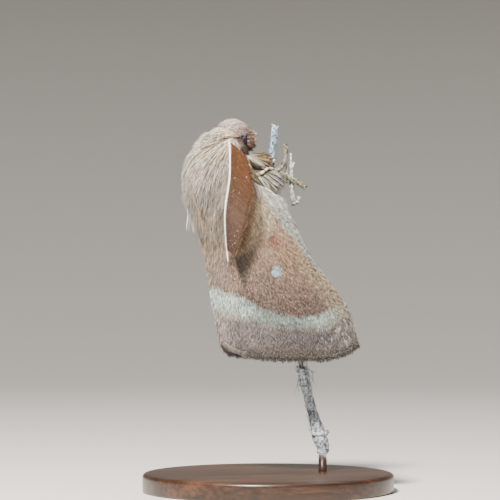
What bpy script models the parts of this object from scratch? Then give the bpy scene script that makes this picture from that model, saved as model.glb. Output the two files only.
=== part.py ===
# A male grass eggar at rest, head up on a dry stem, on a plain display stand.
#
# The moth's plane of symmetry is the XZ plane: +Z runs from the wing tips to the head, -X is
# the moth's back and +X its belly side, where it holds the stem. Its right side faces -Y.
# The origin is the middle of the stand's underside. Sizes are in millimetres, and MM turns
# them into metres when a mesh is made. A point of a paired piece is (x, out, z), where out is
# the distance from the plane of symmetry.
import bmesh
import bpy
import numpy as np

MM = 0.001
RIGHT, LEFT = -1.0, 1.0

# Driving dimensions
GAP = 0.3
WING_THICKNESS = 0.5
WING_ARCH = 1.6
TERMEN_DROP = 1.95
VEIN_HEIGHT = 0.14
VEIN_SPREAD = 0.016
ANTENNA_RADIUS = 0.3
EYE_RADIUS = 0.8
BASE_RADIUS = 15.0
BASE_HEIGHT = 2.2
BASE_BEVEL = 0.35
BASE_SIDES = 48
ROD_RADIUS = 0.5

# The bodies under their coats, and out to the tips of them: height, middle x, half depth and
# half width
THORAX_CORE = (
    (31.6, -6.35, 0.90, 0.60),
    (32.5, -6.25, 2.40, 1.25),
    (34.5, -6.20, 3.40, 2.20),
    (37.3, -6.10, 3.60, 2.60),
    (39.0, -5.95, 3.40, 2.75),
    (40.4, -5.75, 2.80, 2.50),
    (41.6, -5.40, 2.75, 2.20),
    (43.2, -5.20, 1.90, 1.50),
)
THORAX_COAT = (
    (29.4, -7.30, 1.90, 1.50),
    (31.2, -7.00, 3.00, 2.00),
    (33.0, -6.80, 3.75, 2.50),
    (35.0, -6.60, 4.15, 2.90),
    (37.3, -6.50, 4.30, 3.20),
    (38.6, -6.40, 4.15, 3.50),
    (40.0, -6.15, 3.75, 3.45),
    (41.6, -5.70, 3.30, 2.85),
    (43.2, -5.40, 2.40, 2.00),
)
ABDOMEN_CORE = (
    (19.2, -3.70, 0.35, 0.35),
    (20.4, -3.75, 1.15, 1.05),
    (22.5, -3.90, 1.55, 1.45),
    (25.5, -4.25, 1.75, 1.65),
    (28.5, -4.70, 1.75, 1.70),
    (30.3, -5.25, 1.45, 1.40),
    (31.0, -5.55, 0.80, 0.75),
)
ABDOMEN_COAT = (
    (17.4, -3.55, 0.50, 0.50),
    (19.0, -3.65, 1.30, 1.20),
    (22.5, -3.90, 1.95, 1.85),
    (25.5, -4.25, 2.15, 2.05),
    (28.5, -4.65, 2.15, 2.05),
    (30.5, -5.20, 1.80, 1.70),
)

# The head leans forward on the neck, a flat cut through this point across this direction
NECK_POINT = np.array((-4.75, 0.0, 41.45))
HEAD_AXIS = np.array((0.469, 0.0, 0.883))
FACE_AXIS = np.array((0.883, 0.0, -0.469))
# The head: distance from the neck, shift towards the face, half depth and half width
HEAD_CORE = (
    (-0.30, -0.30, 1.75, 1.45),
    (0.60, -0.28, 1.85, 1.65),
    (1.20, -0.20, 1.75, 1.65),
    (1.80, -0.12, 1.45, 1.45),
    (2.25, -0.10, 0.95, 1.00),
    (2.50, -0.10, 0.30, 0.30),
)
HEAD_COAT = (
    (-0.30, -0.70, 2.40, 1.95),
    (0.60, -0.65, 2.30, 2.10),
    (1.40, -0.48, 2.05, 2.00),
    (2.10, -0.35, 1.60, 1.60),
    (2.70, -0.20, 1.05, 1.05),
    (3.05, -0.10, 0.50, 0.50),
)
EYE_PLACE = (-3.45, 1.35, 41.85)
PALP_PATH = ((-2.70, 0.58, 40.6), (-2.25, 0.60, 41.2), (-2.00, 0.60, 41.9), (-2.05, 0.60, 42.5),
             (-2.25, 0.58, 43.0))
PALP_RADII = (0.30, 0.38, 0.42, 0.38, 0.25)

# Rows of locks: the height of the roots, how far each side of the back the row reaches in
# degrees, how many locks it has, and how far each runs along the body
THORAX_LOCKS = ((43.0, 62, 4, -2.7), (42.0, 96, 7, -3.2), (40.5, 92, 6, -3.0), (38.9, 70, 5, -4.2),
                (37.1, 62, 5, -4.2), (35.3, 52, 4, -4.3), (33.6, 34, 3, -4.0))
HEAD_LOCKS = ((0.20, 112, 7, 2.0), (0.95, 104, 6, 1.7), (1.60, 86, 4, 1.3))
ABDOMEN_LOCKS = ((29.4, 135, 4, -3.8), (26.9, 144, 5, -3.8), (24.4, 135, 4, -3.8), (21.6, 144, 5, -3.6))
# The width and thickness of a lock
THORAX_LOCK = (2.2, 0.5)
HEAD_LOCK = (1.3, 0.45)
ABDOMEN_LOCK = (1.9, 0.45)
LEG_LOCK = (0.65, 0.45)
# A lock's root is sunk by this share of the coat's depth, and it reaches the outside of the
# coat at this share of its length
LOCK_SINK = 0.28
LOCK_RISE = 0.66
# A lock's width and thickness at each point from root to tip, as shares of its largest
LOCK_WIDTHS = (0.8, 1.0, 0.65)
LOCK_THICKNESS = (1.0, 1.0, 0.8)

# The forewing's inner margin and its leading edge, from root to outer margin
FOREWING_INNER = ((-5.4, 3.20, 37.5), (-6.8, 3.10, 36.0), (-7.75, 2.40, 33.6), (-8.05, 1.10, 31.2),
                  (-7.85, 0.46, 28.8), (-7.4, 0.42, 26.0), (-6.95, 0.42, 23.2), (-6.0, 0.42, 17.7))
FOREWING_LEADING = ((-4.3, 3.30, 37.5), (-2.3, 3.50, 36.2), (-0.2, 3.75, 35.0), (1.2, 4.05, 33.2),
                    (3.2, 4.85, 28.8), (5.6, 5.80, 25.0), (7.7, 6.70, 21.6), (8.65, 7.75, 17.4))
FOREWING_ROWS = 14
# Each vein's place as a share from the inner margin, and the share of the length it starts at
FOREWING_VEINS = ((0.10, 0.0), (0.24, 0.15), (0.36, 0.3), (0.47, 0.0), (0.57, 0.45), (0.67, 0.45),
                  (0.77, 0.0), (0.88, 0.0))
# A cross vein closes the cell at this row, between these two veins
CROSS_VEIN_ROW = 7
CROSS_VEIN_REACH = (0.47, 0.77)
# The hindwing lies under the forewing, between these shares of its length, from root to tip,
# and spreads from the first pair of shares across it to the second
HINDWING_SHARES = (0.31, 0.92)
HINDWING_ROOT = (0.42, 0.62)
HINDWING_TIP = (0.32, 0.95)
HINDWING_ROWS = 8
HINDWING_VEINS = ((0.14, 0.0), (0.32, 0.3), (0.50, 0.3), (0.68, 0.3), (0.86, 0.0))

ANTENNA_PATH = ((-4.85, 2.25, 42.3), (-5.5, 3.35, 41.3), (-6.15, 4.6, 39.6), (-6.5, 5.2, 37.2),
                (-6.95, 5.25, 34.0), (-6.9, 4.9, 31.8), (-6.35, 4.05, 28.0))
# Two rows of side branches leave the shaft this way, as shares along X, outwards and along Z
RAMUS_ROWS = ((0.574, 0.819, -0.5), (1.0, 0.0, -0.5))
RAMUS_COUNT = 13
RAMUS_LENGTHS = (3.7, 4.2)
RAMUS_SPAN = (0.103, 0.957)
RAMUS_THICKNESS = 0.5
# The coats keep clear of an antenna along this share of it, and of a forewing at these shares
# across it, the first of which stands for just outside its inner margin
ANTENNA_CLEAR = 0.5
WING_CLEAR = (-1.0, 0.0, 0.15, 0.3, 0.45)

# Legs: root, knee, ankle and claw, with the half thickness at each, and the way their hair lies
LEG_PATHS = {
    "foreleg": ((-2.15, 1.40, 39.3), (-1.35, 1.75, 39.65), (-0.6, 1.45, 39.6), (0.05, 0.85, 39.35)),
    "midleg": ((-2.15, 1.40, 37.5), (-0.95, 2.30, 37.35), (0.35, 2.05, 37.15), (1.0, 1.15, 37.35)),
    "hindleg": ((-2.05, 1.20, 35.0), (-1.05, 2.05, 35.5), (-0.35, 1.75, 34.8), (-0.05, 1.0, 33.9)),
}
LEG_RADII = (0.50, 0.55, 0.42, 0.25)
# Each lock of a leg: share of the leg's length at its root, its turn outwards and its length
LEG_LOCKS = ((0.24, 0.30, 1.9), (0.40, -0.1, 2.4), (0.54, 0.15, 2.3), (0.68, -0.1, 1.8))
LEG_LOCK_WAY = (0.80, 0.0, -0.60)
LEG_LOCK_BESIDE = (0.2, 0.9, 0.1)
LEG_LOCK_SAG = 0.25

# The dry stem, from its cut foot to its broken top. Its bark ends, frayed, at STEM_PATH[5].
STEM_PATH = ((7.0, 0.0, 4.8), (7.0, 0.0, 5.4), (6.60, 0.0, 6.6), (5.95, 0.0, 8.8),
             (5.35, 0.0, 11.2), (4.45, 0.0, 14.7), (3.2, 0.0, 18.7), (1.85, 0.0, 23.2),
             (0.75, 0.0, 27.6), (0.12, 0.0, 31.8), (0.13, 0.0, 35.4), (0.40, 0.0, 38.9),
             (0.90, 0.0, 43.7))
STEM_RADII = (0.72, 0.72, 0.78, 0.62, 0.60, 0.62, 0.46, 0.45, 0.44, 0.43, 0.43, 0.42, 0.40)
# Twigs and buds on the stem: each one's path, and the half thickness at each point
TWIGS = (
    (((0.35, 0.0, 38.3), (1.15, -0.2, 38.4), (1.85, -0.3, 38.95), (2.1, -0.3, 40.3), (2.2, -0.3, 41.3)),
     (0.28, 0.26, 0.24, 0.23, 0.22)),
    (((0.35, 0.0, 38.3), (1.3, -0.3, 38.05), (2.6, -0.5, 37.4), (3.6, -0.65, 36.8), (4.5, -0.8, 36.25)),
     (0.28, 0.24, 0.25, 0.28, 0.32)),
    (((2.6, -0.45, 39.7), (2.75, -0.5, 38.4), (2.85, -0.5, 37.2), (2.95, -0.5, 35.6), (3.15, -0.5, 34.4)),
     (0.22, 0.23, 0.25, 0.28, 0.28)),
    (((6.6, 0.0, 6.5), (5.9, -0.3, 6.75), (5.45, -0.4, 6.95)), (0.40, 0.32, 0.22)),
    (((6.6, 0.0, 6.5), (7.2, -0.3, 6.8), (7.65, -0.4, 7.1)), (0.40, 0.32, 0.22)),
    (((6.6, 0.0, 6.5), (6.6, -0.6, 6.7), (6.6, -1.05, 6.95)), (0.38, 0.30, 0.22)),
)

random = np.random.default_rng(7)


def material(name, colour, roughness, metallic=0.0):
    """A plain finish: linear colour, roughness and metallic value."""
    made = bpy.data.materials.new(name)
    made.use_nodes = True
    shader = made.node_tree.nodes["Principled BSDF"]
    shader.inputs["Base Color"].default_value = (*colour, 1.0)
    shader.inputs["Roughness"].default_value = roughness
    shader.inputs["Metallic"].default_value = metallic
    return made


def smooth_step(value):
    """Rises from 0 to 1 as the value does, level at both ends."""
    value = np.clip(value, 0, 1)
    return value * value * (3 - 2 * value)


def unit(vectors):
    """The vectors at length one."""
    return vectors / np.linalg.norm(vectors, axis=-1, keepdims=True)


def curve(knots, shares):
    """Rows of numbers on the smooth curve through the knots, at shares 0 to 1 of its run."""
    knots = np.asarray(knots, float)
    steps = np.asarray(shares, float) * (len(knots) - 1)
    first = np.clip(steps.astype(int), 0, len(knots) - 2)
    part = (steps - first)[..., None]
    padded = np.vstack([2 * knots[0] - knots[1], knots, 2 * knots[-1] - knots[-2]])
    before, start, end, after = (padded[first + k] for k in range(4))
    return 0.5 * (2 * start + (end - before) * part
                  + (2 * before - 5 * start + 4 * end - after) * part ** 2
                  + (3 * start - before - 3 * end + after) * part ** 3)


def section_at(sections, heights):
    """A body's section at each height, which is the first number of its sections."""
    rows = np.asarray(sections, float)
    return curve(rows[:, 1:], np.interp(heights, rows[:, 0], np.linspace(0, 1, len(rows))))


def standing(turn, height, row):
    """A point of an upright body, turn radians round from the belly side."""
    return np.stack([row[..., 0] + row[..., 1] * np.cos(turn), row[..., 2] * np.sin(turn), height], axis=-1)


def leaning(turn, height, row):
    """The same on the head, whose height runs from the neck along its own axis."""
    forward = row[..., 0] + row[..., 1] * np.cos(turn)
    return (NECK_POINT + height[..., None] * HEAD_AXIS + forward[..., None] * FACE_AXIS
            + (row[..., 2] * np.sin(turn))[..., None] * np.array((0.0, 1.0, 0.0)))


def mesh_object(name, points, faces, finish):
    """An object from points in millimetres and triangles, smooth except at sharp corners."""
    mesh = bpy.data.meshes.new(name)
    mesh.from_pydata((np.asarray(points, float) * MM).tolist(), [], faces)
    mesh.materials.append(finish)
    mesh.shade_smooth()
    mesh.set_sharp_from_angle(angle=0.7)
    made = bpy.data.objects.new(name, mesh)
    bpy.context.scene.collection.objects.link(made)
    return made


def skin_rings(rings, tip=None):
    """Points and triangles of a closed form over rings that turn anticlockwise about its run.
    It ends at the middle of the last ring, or at a tip."""
    rings = np.asarray(rings, float)
    count, around = rings.shape[:2]
    first, last = count * around, count * around + 1
    faces = []
    for j in range(around):
        after = (j + 1) % around
        faces.append((first, after, j))
        faces.append((last, (count - 1) * around + j, (count - 1) * around + after))
        for k in range(0, (count - 1) * around, around):
            faces.append((k + j, k + after, k + after + around))
            faces.append((k + j, k + after + around, k + j + around))
    ends = np.stack([rings[0].mean(0), rings[-1].mean(0) if tip is None else tip])
    return np.vstack([rings.reshape(-1, 3), ends]), faces


def tube(path, radii, sides):
    """Points and triangles of a round closed tube along a path."""
    path = np.asarray(path, float)
    ahead = unit(np.gradient(path, axis=0))
    side = np.cross(ahead, (0.0, 1.0, 0.0) if abs(ahead[0][1]) < 0.8 else (0.0, 0.0, 1.0))
    side = unit(side)
    over = np.cross(ahead, side)
    turn = np.linspace(0, 2 * np.pi, sides, endpoint=False)[None, :, None]
    across = side[:, None] * np.cos(turn) + over[:, None] * np.sin(turn)
    return skin_rings(path[:, None] + across * np.asarray(radii, float)[:, None, None])


def smooth_tube(knots, radii, count, sides):
    """A tube along the smooth curve through the knots, read at count points."""
    shares = np.linspace(0, 1, count)
    return tube(curve(knots, shares), curve(np.asarray(radii, float)[:, None], shares)[:, 0], sides)


def strand(path, beside, width, thickness):
    """Points and triangles of a flat tapered lock along a path, wide the way beside points."""
    ahead = unit(np.gradient(path, axis=0))
    beside = unit(beside - ahead * (beside * ahead).sum(axis=-1, keepdims=True))
    over = np.cross(ahead, beside)
    half_width = (np.array(LOCK_WIDTHS) * width / 2)[:, None]
    half_thickness = (np.array(LOCK_THICKNESS) * thickness / 2)[:, None]
    body, beside, over = path[:-1], beside[:-1] * half_width, over[:-1] * half_thickness
    return skin_rings(np.stack([body + beside, body + over, body - beside, body - over], axis=1), path[-1])


def on_side(points, side):
    """Points given as (x, out, z), set on the right or the left side of the moth."""
    return np.asarray(points, float) * (1.0, side, 1.0)


def mirrored(points, faces, side):
    """A form set on one side, with its faces still turned outwards."""
    return on_side(points, side), [face[::-1] for face in faces] if side < 0 else faces


def apply_boolean(target, operation, **operand):
    """Applies one Boolean to the target."""
    modifier = target.modifiers.new(operation.title(), "BOOLEAN")
    modifier.operation = operation
    modifier.solver = "EXACT"
    for key, value in operand.items():
        setattr(modifier, key, value)
    bpy.context.view_layer.objects.active = target
    bpy.ops.object.modifier_apply(modifier=modifier.name)


def join(target, pieces):
    """Fuses closed pieces into the target in one union, and keeps the largest closed surface."""
    group = bpy.data.collections.new("pieces")
    bpy.context.scene.collection.children.link(group)
    for points, faces in pieces:
        piece = mesh_object("piece", points, faces, target.data.materials[0])
        bpy.context.scene.collection.objects.unlink(piece)
        group.objects.link(piece)
    apply_boolean(target, "UNION", operand_type="COLLECTION", collection=group)
    for piece in list(group.objects):
        bpy.data.objects.remove(piece)
    bpy.data.collections.remove(group)
    keep_largest(target)


def cut(target, points, faces):
    """Cuts a closed form out of the target, and keeps the largest closed surface."""
    cutter = mesh_object("cutter", points, faces, target.data.materials[0])
    apply_boolean(target, "DIFFERENCE", object=cutter)
    bpy.data.objects.remove(cutter)
    keep_largest(target)


def keep_largest(target):
    """Removes every closed surface of a mesh but the one that holds the most."""
    work = bmesh.new()
    work.from_mesh(target.data)
    left, shells = set(work.faces), []
    while left:
        shell, edge = set(), [left.pop()]
        while edge:
            face = edge.pop()
            shell.add(face)
            near = {other for link in face.edges for other in link.link_faces} & left
            left -= near
            edge.extend(near)
        shells.append(shell)
    shells.sort(key=shell_volume)
    loose = [face for shell in shells[:-1] for face in shell]
    bmesh.ops.delete(work, geom=loose, context="FACES")
    work.to_mesh(target.data)
    work.free()


def shell_volume(shell):
    """What a closed set of faces holds: the sum over its faces of area, distance and direction."""
    return sum(face.calc_area() * face.normal.dot(face.calc_center_median()) for face in shell)


def body(name, place, core, rings, sides, finish):
    """A body of oval sections."""
    heights = np.linspace(core[0][0], core[-1][0], rings)
    turn, height = np.meshgrid(np.linspace(0, 2 * np.pi, sides, endpoint=False), heights)
    return mesh_object(name, *skin_rings(place(turn, height, section_at(core, height))), finish)


def coat(place, core, tips, rows, width, thickness):
    """Rows of locks that leave the core and lie along the coat, each row over the next."""
    locks = []
    share = np.linspace(0, 1, len(LOCK_WIDTHS) + 1)
    depth = (-LOCK_SINK + (1 + LOCK_SINK) * smooth_step(share / LOCK_RISE))[:, None]
    for number, (root, reach, count, run) in enumerate(rows):
        turns = np.radians(180 + reach * (np.linspace(-1, 1, count) + (number % 2 - 0.5) / count))
        for turn in turns:
            turn = turn + random.uniform(-0.06, 0.06)
            lean = random.uniform(-0.10, 0.10)
            height = root + random.uniform(-0.12, 0.12) + run * random.uniform(0.9, 1.08) * share
            row = section_at(core, height)
            row = row + (section_at(tips, height) * random.uniform(0.98, 1.03) - row) * depth
            path = place(turn + lean * share, height, row)
            beside = place(turn + lean * share + 0.05, height, row) - path
            locks.append(strand(path, beside, width * random.uniform(0.85, 1.15), thickness))
    return locks


def ball(middle, radius, sides=14, rings=7):
    """Points and triangles of a round ball."""
    turn = np.linspace(0, np.pi, rings + 2)[1:-1, None]
    around = np.linspace(0, 2 * np.pi, sides, endpoint=False)
    rows = np.stack([np.sin(turn) * np.cos(around), np.sin(turn) * np.sin(around),
                     -np.cos(turn) + 0 * around], axis=-1)
    points, faces = skin_rings(np.asarray(middle) + radius * rows)
    points[-2:] = np.asarray(middle) + np.array(((0, 0, -radius), (0, 0, radius)))
    return points, faces


def antenna_room(side):
    """A tube round the root of an antenna, which the coats leave free."""
    path = curve(on_side(ANTENNA_PATH, side), np.linspace(0, ANTENNA_CLEAR, 6))
    path = np.vstack([path[0] - (path[1] - path[0]) * 0.3, path])
    return tube(path, [ANTENNA_RADIUS + GAP * 1.5] * len(path), 8)


def wing_room(side, rows):
    """A thick sheet about the first rows of a forewing, which the coats leave free."""
    shares, across = np.meshgrid(np.linspace(0, 1, FOREWING_ROWS)[:rows], WING_CLEAR, indexing="ij")
    chord = np.linalg.norm(curve(FOREWING_LEADING, shares) - curve(FOREWING_INNER, shares), axis=-1)
    shares[0] = -0.02
    middle = wing_surface(shares, np.maximum(across, -1.5 * GAP / chord))
    points, faces = wing_sheet(middle, WING_THICKNESS + 2.2 * GAP, np.zeros(shares.shape))
    return mirrored(points, faces, side)


def beyond_neck(way):
    """A broad block on one side of the neck's cut, half a gap away from it."""
    start = NECK_POINT - HEAD_AXIS * way * GAP / 2
    return tube([start, start + HEAD_AXIS * way * 5], (7, 7), 12)


def make_thorax(finish):
    """The thorax with its long coat, cut off flat at the neck."""
    made = body("thorax", standing, THORAX_CORE, 10, 16, finish)
    join(made, coat(standing, THORAX_CORE, THORAX_COAT, THORAX_LOCKS, *THORAX_LOCK))
    cut(made, *beyond_neck(1))
    for side in (RIGHT, LEFT):
        cut(made, *antenna_room(side))
        cut(made, *wing_room(side, 9))


def make_head(finish):
    """The head with its hood of hair and a socket for each eye."""
    made = body("head", leaning, HEAD_CORE, 8, 16, finish)
    join(made, coat(leaning, HEAD_CORE, HEAD_COAT, HEAD_LOCKS, *HEAD_LOCK))
    cut(made, *beyond_neck(-1))
    for side in (RIGHT, LEFT):
        cut(made, *ball(on_side(EYE_PLACE, side), EYE_RADIUS + GAP))
        cut(made, *antenna_room(side))


def make_abdomen(finish):
    """The abdomen, whose last locks make the tuft at its tip."""
    made = body("abdomen", standing, ABDOMEN_CORE, 10, 12, finish)
    join(made, coat(standing, ABDOMEN_CORE, ABDOMEN_COAT, ABDOMEN_LOCKS, *ABDOMEN_LOCK))
    for side in (RIGHT, LEFT):
        cut(made, *wing_room(side, 12))


def make_eye(name, side, finish):
    mesh_object(name, *ball(on_side(EYE_PLACE, side), EYE_RADIUS), finish)


def make_palp(name, side, finish):
    mesh_object(name, *smooth_tube(on_side(PALP_PATH, side), PALP_RADII, 9, 8), finish)


def wing_surface(shares, across):
    """Points of the forewing's middle surface: shares of its length, and shares from the inner
    margin to the leading edge. It is arched outwards, and its outer margin is bowed downwards."""
    start, end = curve(FOREWING_INNER, shares), curve(FOREWING_LEADING, shares)
    chord = end - start
    out = unit(np.stack([-chord[..., 1], chord[..., 0], np.zeros(shares.shape)], axis=-1))
    bow = np.sin(np.pi * across) * (1 + 0.45 * np.cos(np.pi * across))
    height = (0.25 * smooth_step(shares * 6) + WING_ARCH * smooth_step(shares / 0.45)) * bow
    points = start + chord * across[..., None] + out * height[..., None]
    points[..., 2] -= TERMEN_DROP * (1 - np.abs(2 * across - 1) ** 4) * shares ** 4
    return points


def surface_normals(grid):
    """The outward direction at each point of a wing's grid."""
    return unit(np.cross(np.gradient(grid, axis=1), np.gradient(grid, axis=0)))


def vein_grid(veins, spread, rows):
    """Places across a wing, with three columns on each vein, and how high each point is raised."""
    places, starts = [0.0], [1.0]
    for place, start in veins:
        places += [place - spread, place, place + spread]
        starts += [1.0, start, 1.0]
    run = np.linspace(0, 1, rows)[:, None]
    return np.array(places + [1.0]), smooth_step((run - np.array(starts + [1.0])) * 5)


def wing_sheet(middle, thickness, raised):
    """Points and triangles of one thin closed sheet about a wing's middle surface, raised on its
    outer face. Both faces are split along the same diagonals."""
    rows, columns = middle.shape[:2]
    out = surface_normals(middle)
    outer = middle + out * (thickness / 2 + VEIN_HEIGHT * raised)[..., None]
    under = middle - out * thickness / 2
    below = rows * columns
    faces = []
    for k in range(rows - 1):
        for a in range(k * columns, k * columns + columns - 1):
            b, c, d = a + 1, a + columns + 1, a + columns
            faces += [(a, b, c), (a, c, d)]
            faces += [(below + a, below + c, below + b), (below + a, below + d, below + c)]
    edge = list(range(columns))
    edge += [k * columns + columns - 1 for k in range(1, rows)]
    edge += [(rows - 1) * columns + j for j in range(columns - 2, -1, -1)]
    edge += [k * columns for k in range(rows - 2, 0, -1)]
    for a, b in zip(edge, edge[1:] + edge[:1]):
        faces += [(b, a, below + a), (b, below + a, below + b)]
    return np.vstack([outer.reshape(-1, 3), under.reshape(-1, 3)]), faces


def make_forewing(name, side, finish):
    """The forewing, with a cross vein that closes its cell."""
    across, raised = vein_grid(FOREWING_VEINS, VEIN_SPREAD, FOREWING_ROWS)
    cell = (across >= CROSS_VEIN_REACH[0]) & (across <= CROSS_VEIN_REACH[1])
    raised[CROSS_VEIN_ROW, cell] = 1
    shares, across = np.meshgrid(np.linspace(0, 1, FOREWING_ROWS), across, indexing="ij")
    points, faces = wing_sheet(wing_surface(shares, across), WING_THICKNESS, raised)
    mesh_object(name, *mirrored(points, faces, side), finish)


def make_hindwing(name, side, finish):
    """The hindwing, which lies along the inside of the forewing."""
    across, raised = vein_grid(HINDWING_VEINS, VEIN_SPREAD * 1.4, HINDWING_ROWS)
    run = np.linspace(0, 1, HINDWING_ROWS)[:, None]
    spread = smooth_step(run * 2.5)
    low = HINDWING_ROOT[0] + (HINDWING_TIP[0] - HINDWING_ROOT[0]) * spread
    high = HINDWING_ROOT[1] + (HINDWING_TIP[1] - HINDWING_ROOT[1]) * spread
    shares = HINDWING_SHARES[0] + (HINDWING_SHARES[1] - HINDWING_SHARES[0]) * run + 0 * across
    above = wing_surface(shares, low + (high - low) * across)
    middle = above - surface_normals(above) * (WING_THICKNESS + 1.2 * GAP + VEIN_HEIGHT)
    points, faces = wing_sheet(middle, WING_THICKNESS, raised)
    mesh_object(name, *mirrored(points, faces, side), finish)


def make_antenna(name, side, finish):
    """An antenna: its shaft, and two rows of side branches that stand in a trough."""
    radii = [ANTENNA_RADIUS] * (len(ANTENNA_PATH) - 1) + [ANTENNA_RADIUS * 0.7]
    made = mesh_object(name, *smooth_tube(on_side(ANTENNA_PATH, side), radii, 12, 7), finish)
    branches = []
    share = np.linspace(0, 1, len(LOCK_WIDTHS) + 1)[:, None]
    for way, length in zip(RAMUS_ROWS, RAMUS_LENGTHS):
        way = unit(np.array(way))
        for place in np.linspace(*RAMUS_SPAN, RAMUS_COUNT):
            root = curve(ANTENNA_PATH, np.array([place]))
            reach = length * np.sin(np.pi * place) ** 0.55 * (1.1 - 0.3 * place)
            droop = np.array((0.0, -0.06, -0.12)) * reach * share ** 2
            path = root + (way * reach + droop) * share
            beside = np.cross(np.gradient(path, axis=0), (0.0, 0.0, 1.0))
            points, faces = strand(path, beside, RAMUS_THICKNESS, RAMUS_THICKNESS)
            branches.append(mirrored(points, faces, side))
    join(made, branches)


def make_leg(name, path, side, finish):
    """A leg, whose hair hangs away from the body."""
    made = mesh_object(name, *smooth_tube(on_side(path, side), LEG_RADII, 7, 7), finish)
    share = np.linspace(0, 1, len(LOCK_WIDTHS) + 1)[:, None]
    locks = []
    for place, turn, length in LEG_LOCKS:
        way = unit(np.array(LEG_LOCK_WAY) + (0.0, turn, 0.0))
        sag = np.array((0.0, 0.0, LEG_LOCK_SAG)) * share ** 2
        lock_path = curve(path, np.array([place])) + way * length * share - sag
        points, faces = strand(lock_path, np.array(LEG_LOCK_BESIDE), *LEG_LOCK)
        locks.append(mirrored(points, faces, side))
    join(made, locks)


def make_perch(finish):
    """The dry stem with its twigs, one solid."""
    made = mesh_object("perch", *smooth_tube(STEM_PATH, STEM_RADII, 27, 9), finish)
    join(made, [smooth_tube(path, radii, 2 * len(path) - 1, 6) for path, radii in TWIGS])


def make_stand(wood, steel):
    """A flat round base, and a short rod up to the stem's foot."""
    inner = BASE_RADIUS - BASE_BEVEL
    profile = ((0, inner), (BASE_BEVEL, BASE_RADIUS), (BASE_HEIGHT - BASE_BEVEL, BASE_RADIUS),
               (BASE_HEIGHT, inner))
    turn = np.linspace(0, 2 * np.pi, BASE_SIDES, endpoint=False)
    rings = [np.stack([r * np.cos(turn), r * np.sin(turn), z + 0 * turn], axis=-1) for z, r in profile]
    mesh_object("stand_base", *skin_rings(rings), wood)
    foot = np.array(STEM_PATH[0])
    path = (foot * (1, 1, 0) + (0, 0, BASE_HEIGHT + GAP), foot - (0, 0, GAP))
    mesh_object("stand_rod", *tube(path, (ROD_RADIUS, ROD_RADIUS), 16), steel)


def main():
    for old in list(bpy.data.objects):
        bpy.data.objects.remove(old)
    fur = material("buff_fur", (0.50, 0.38, 0.30), 0.85)
    wing = material("wing_scales", (0.42, 0.26, 0.19), 0.8)
    comb = material("antenna_brown", (0.26, 0.10, 0.045), 0.7)
    eye = material("eye_dark", (0.02, 0.018, 0.035), 0.15)
    leg = material("leg_fur", (0.55, 0.47, 0.36), 0.85)
    bark = material("dry_stem", (0.52, 0.52, 0.50), 0.9)
    wood = material("stand_wood", (0.07, 0.04, 0.025), 0.45)
    steel = material("stand_steel", (0.60, 0.60, 0.60), 0.3, 1.0)
    make_thorax(fur)
    make_head(fur)
    make_abdomen(fur)
    for word, side in (("right", RIGHT), ("left", LEFT)):
        make_eye(f"eye_{word}", side, eye)
        make_palp(f"palp_{word}", side, fur)
        make_antenna(f"antenna_{word}", side, comb)
        make_forewing(f"forewing_{word}", side, wing)
        make_hindwing(f"hindwing_{word}", side, wing)
        for kind, path in LEG_PATHS.items():
            make_leg(f"{kind}_{word}", path, side, leg)
    make_perch(bark)
    make_stand(wood, steel)


main()
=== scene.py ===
# A male grass eggar at rest, head up on a dry forked stem, on a small turned stand: its looks.
# Shapes are worked out in millimetres, in the frame's own axes: +Z towards the head, -X the moth's
# back, +X its belly and the stem, -Y its right side. putMesh turns them into metres.
import math

import bpy
import numpy as np
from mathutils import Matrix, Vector


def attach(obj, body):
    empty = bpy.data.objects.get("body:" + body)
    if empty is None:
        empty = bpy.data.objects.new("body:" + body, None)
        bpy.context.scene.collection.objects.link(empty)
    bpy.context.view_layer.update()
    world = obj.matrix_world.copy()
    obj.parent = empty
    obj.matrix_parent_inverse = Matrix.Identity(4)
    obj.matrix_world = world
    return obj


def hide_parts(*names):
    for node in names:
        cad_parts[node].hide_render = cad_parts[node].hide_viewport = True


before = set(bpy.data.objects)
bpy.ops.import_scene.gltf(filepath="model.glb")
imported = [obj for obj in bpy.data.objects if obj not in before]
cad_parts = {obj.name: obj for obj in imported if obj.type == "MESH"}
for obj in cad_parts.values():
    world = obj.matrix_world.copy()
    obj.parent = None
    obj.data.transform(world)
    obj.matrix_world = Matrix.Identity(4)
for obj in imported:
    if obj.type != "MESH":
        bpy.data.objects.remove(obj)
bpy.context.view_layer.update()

mm = 0.001
draw = np.random.default_rng(23)


# numbers, curves and noise

# linear colour of an sRGB hex value
def hexColour(text):
    values = np.array([int(text[k:k + 2], 16) for k in (1, 3, 5)]) / 255
    return np.where(values <= 0.04045, values / 12.92, ((values + 0.055) / 1.055) ** 2.4)


# rises from 0 at low to 1 at high, level at both ends
def smoothStep(low, high, value):
    share = np.clip((value - low) / (high - low), 0, 1)
    return share * share * (3 - 2 * share)


# a hill of height 1 round its middle
def bell(value, middle, width):
    return np.exp(-((value - middle) / width) ** 2)


# a + (b - a) * share, for colours or points with one share each
def mixRows(a, b, share):
    return a + (b - a) * np.asarray(share)[..., None]


# the same between two hex colours
def blend(low, high, share):
    return mixRows(hexColour(low), hexColour(high), share)


# colours painted over with hex colours one after another, each given as (colour, share)
def paint(tint, *layers):
    for colour, share in layers:
        tint = mixRows(tint, hexColour(colour), share)
    return tint


def unitRows(rows):
    return rows / np.maximum(np.linalg.norm(rows, axis=-1, keepdims=True), 1e-9)


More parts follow.
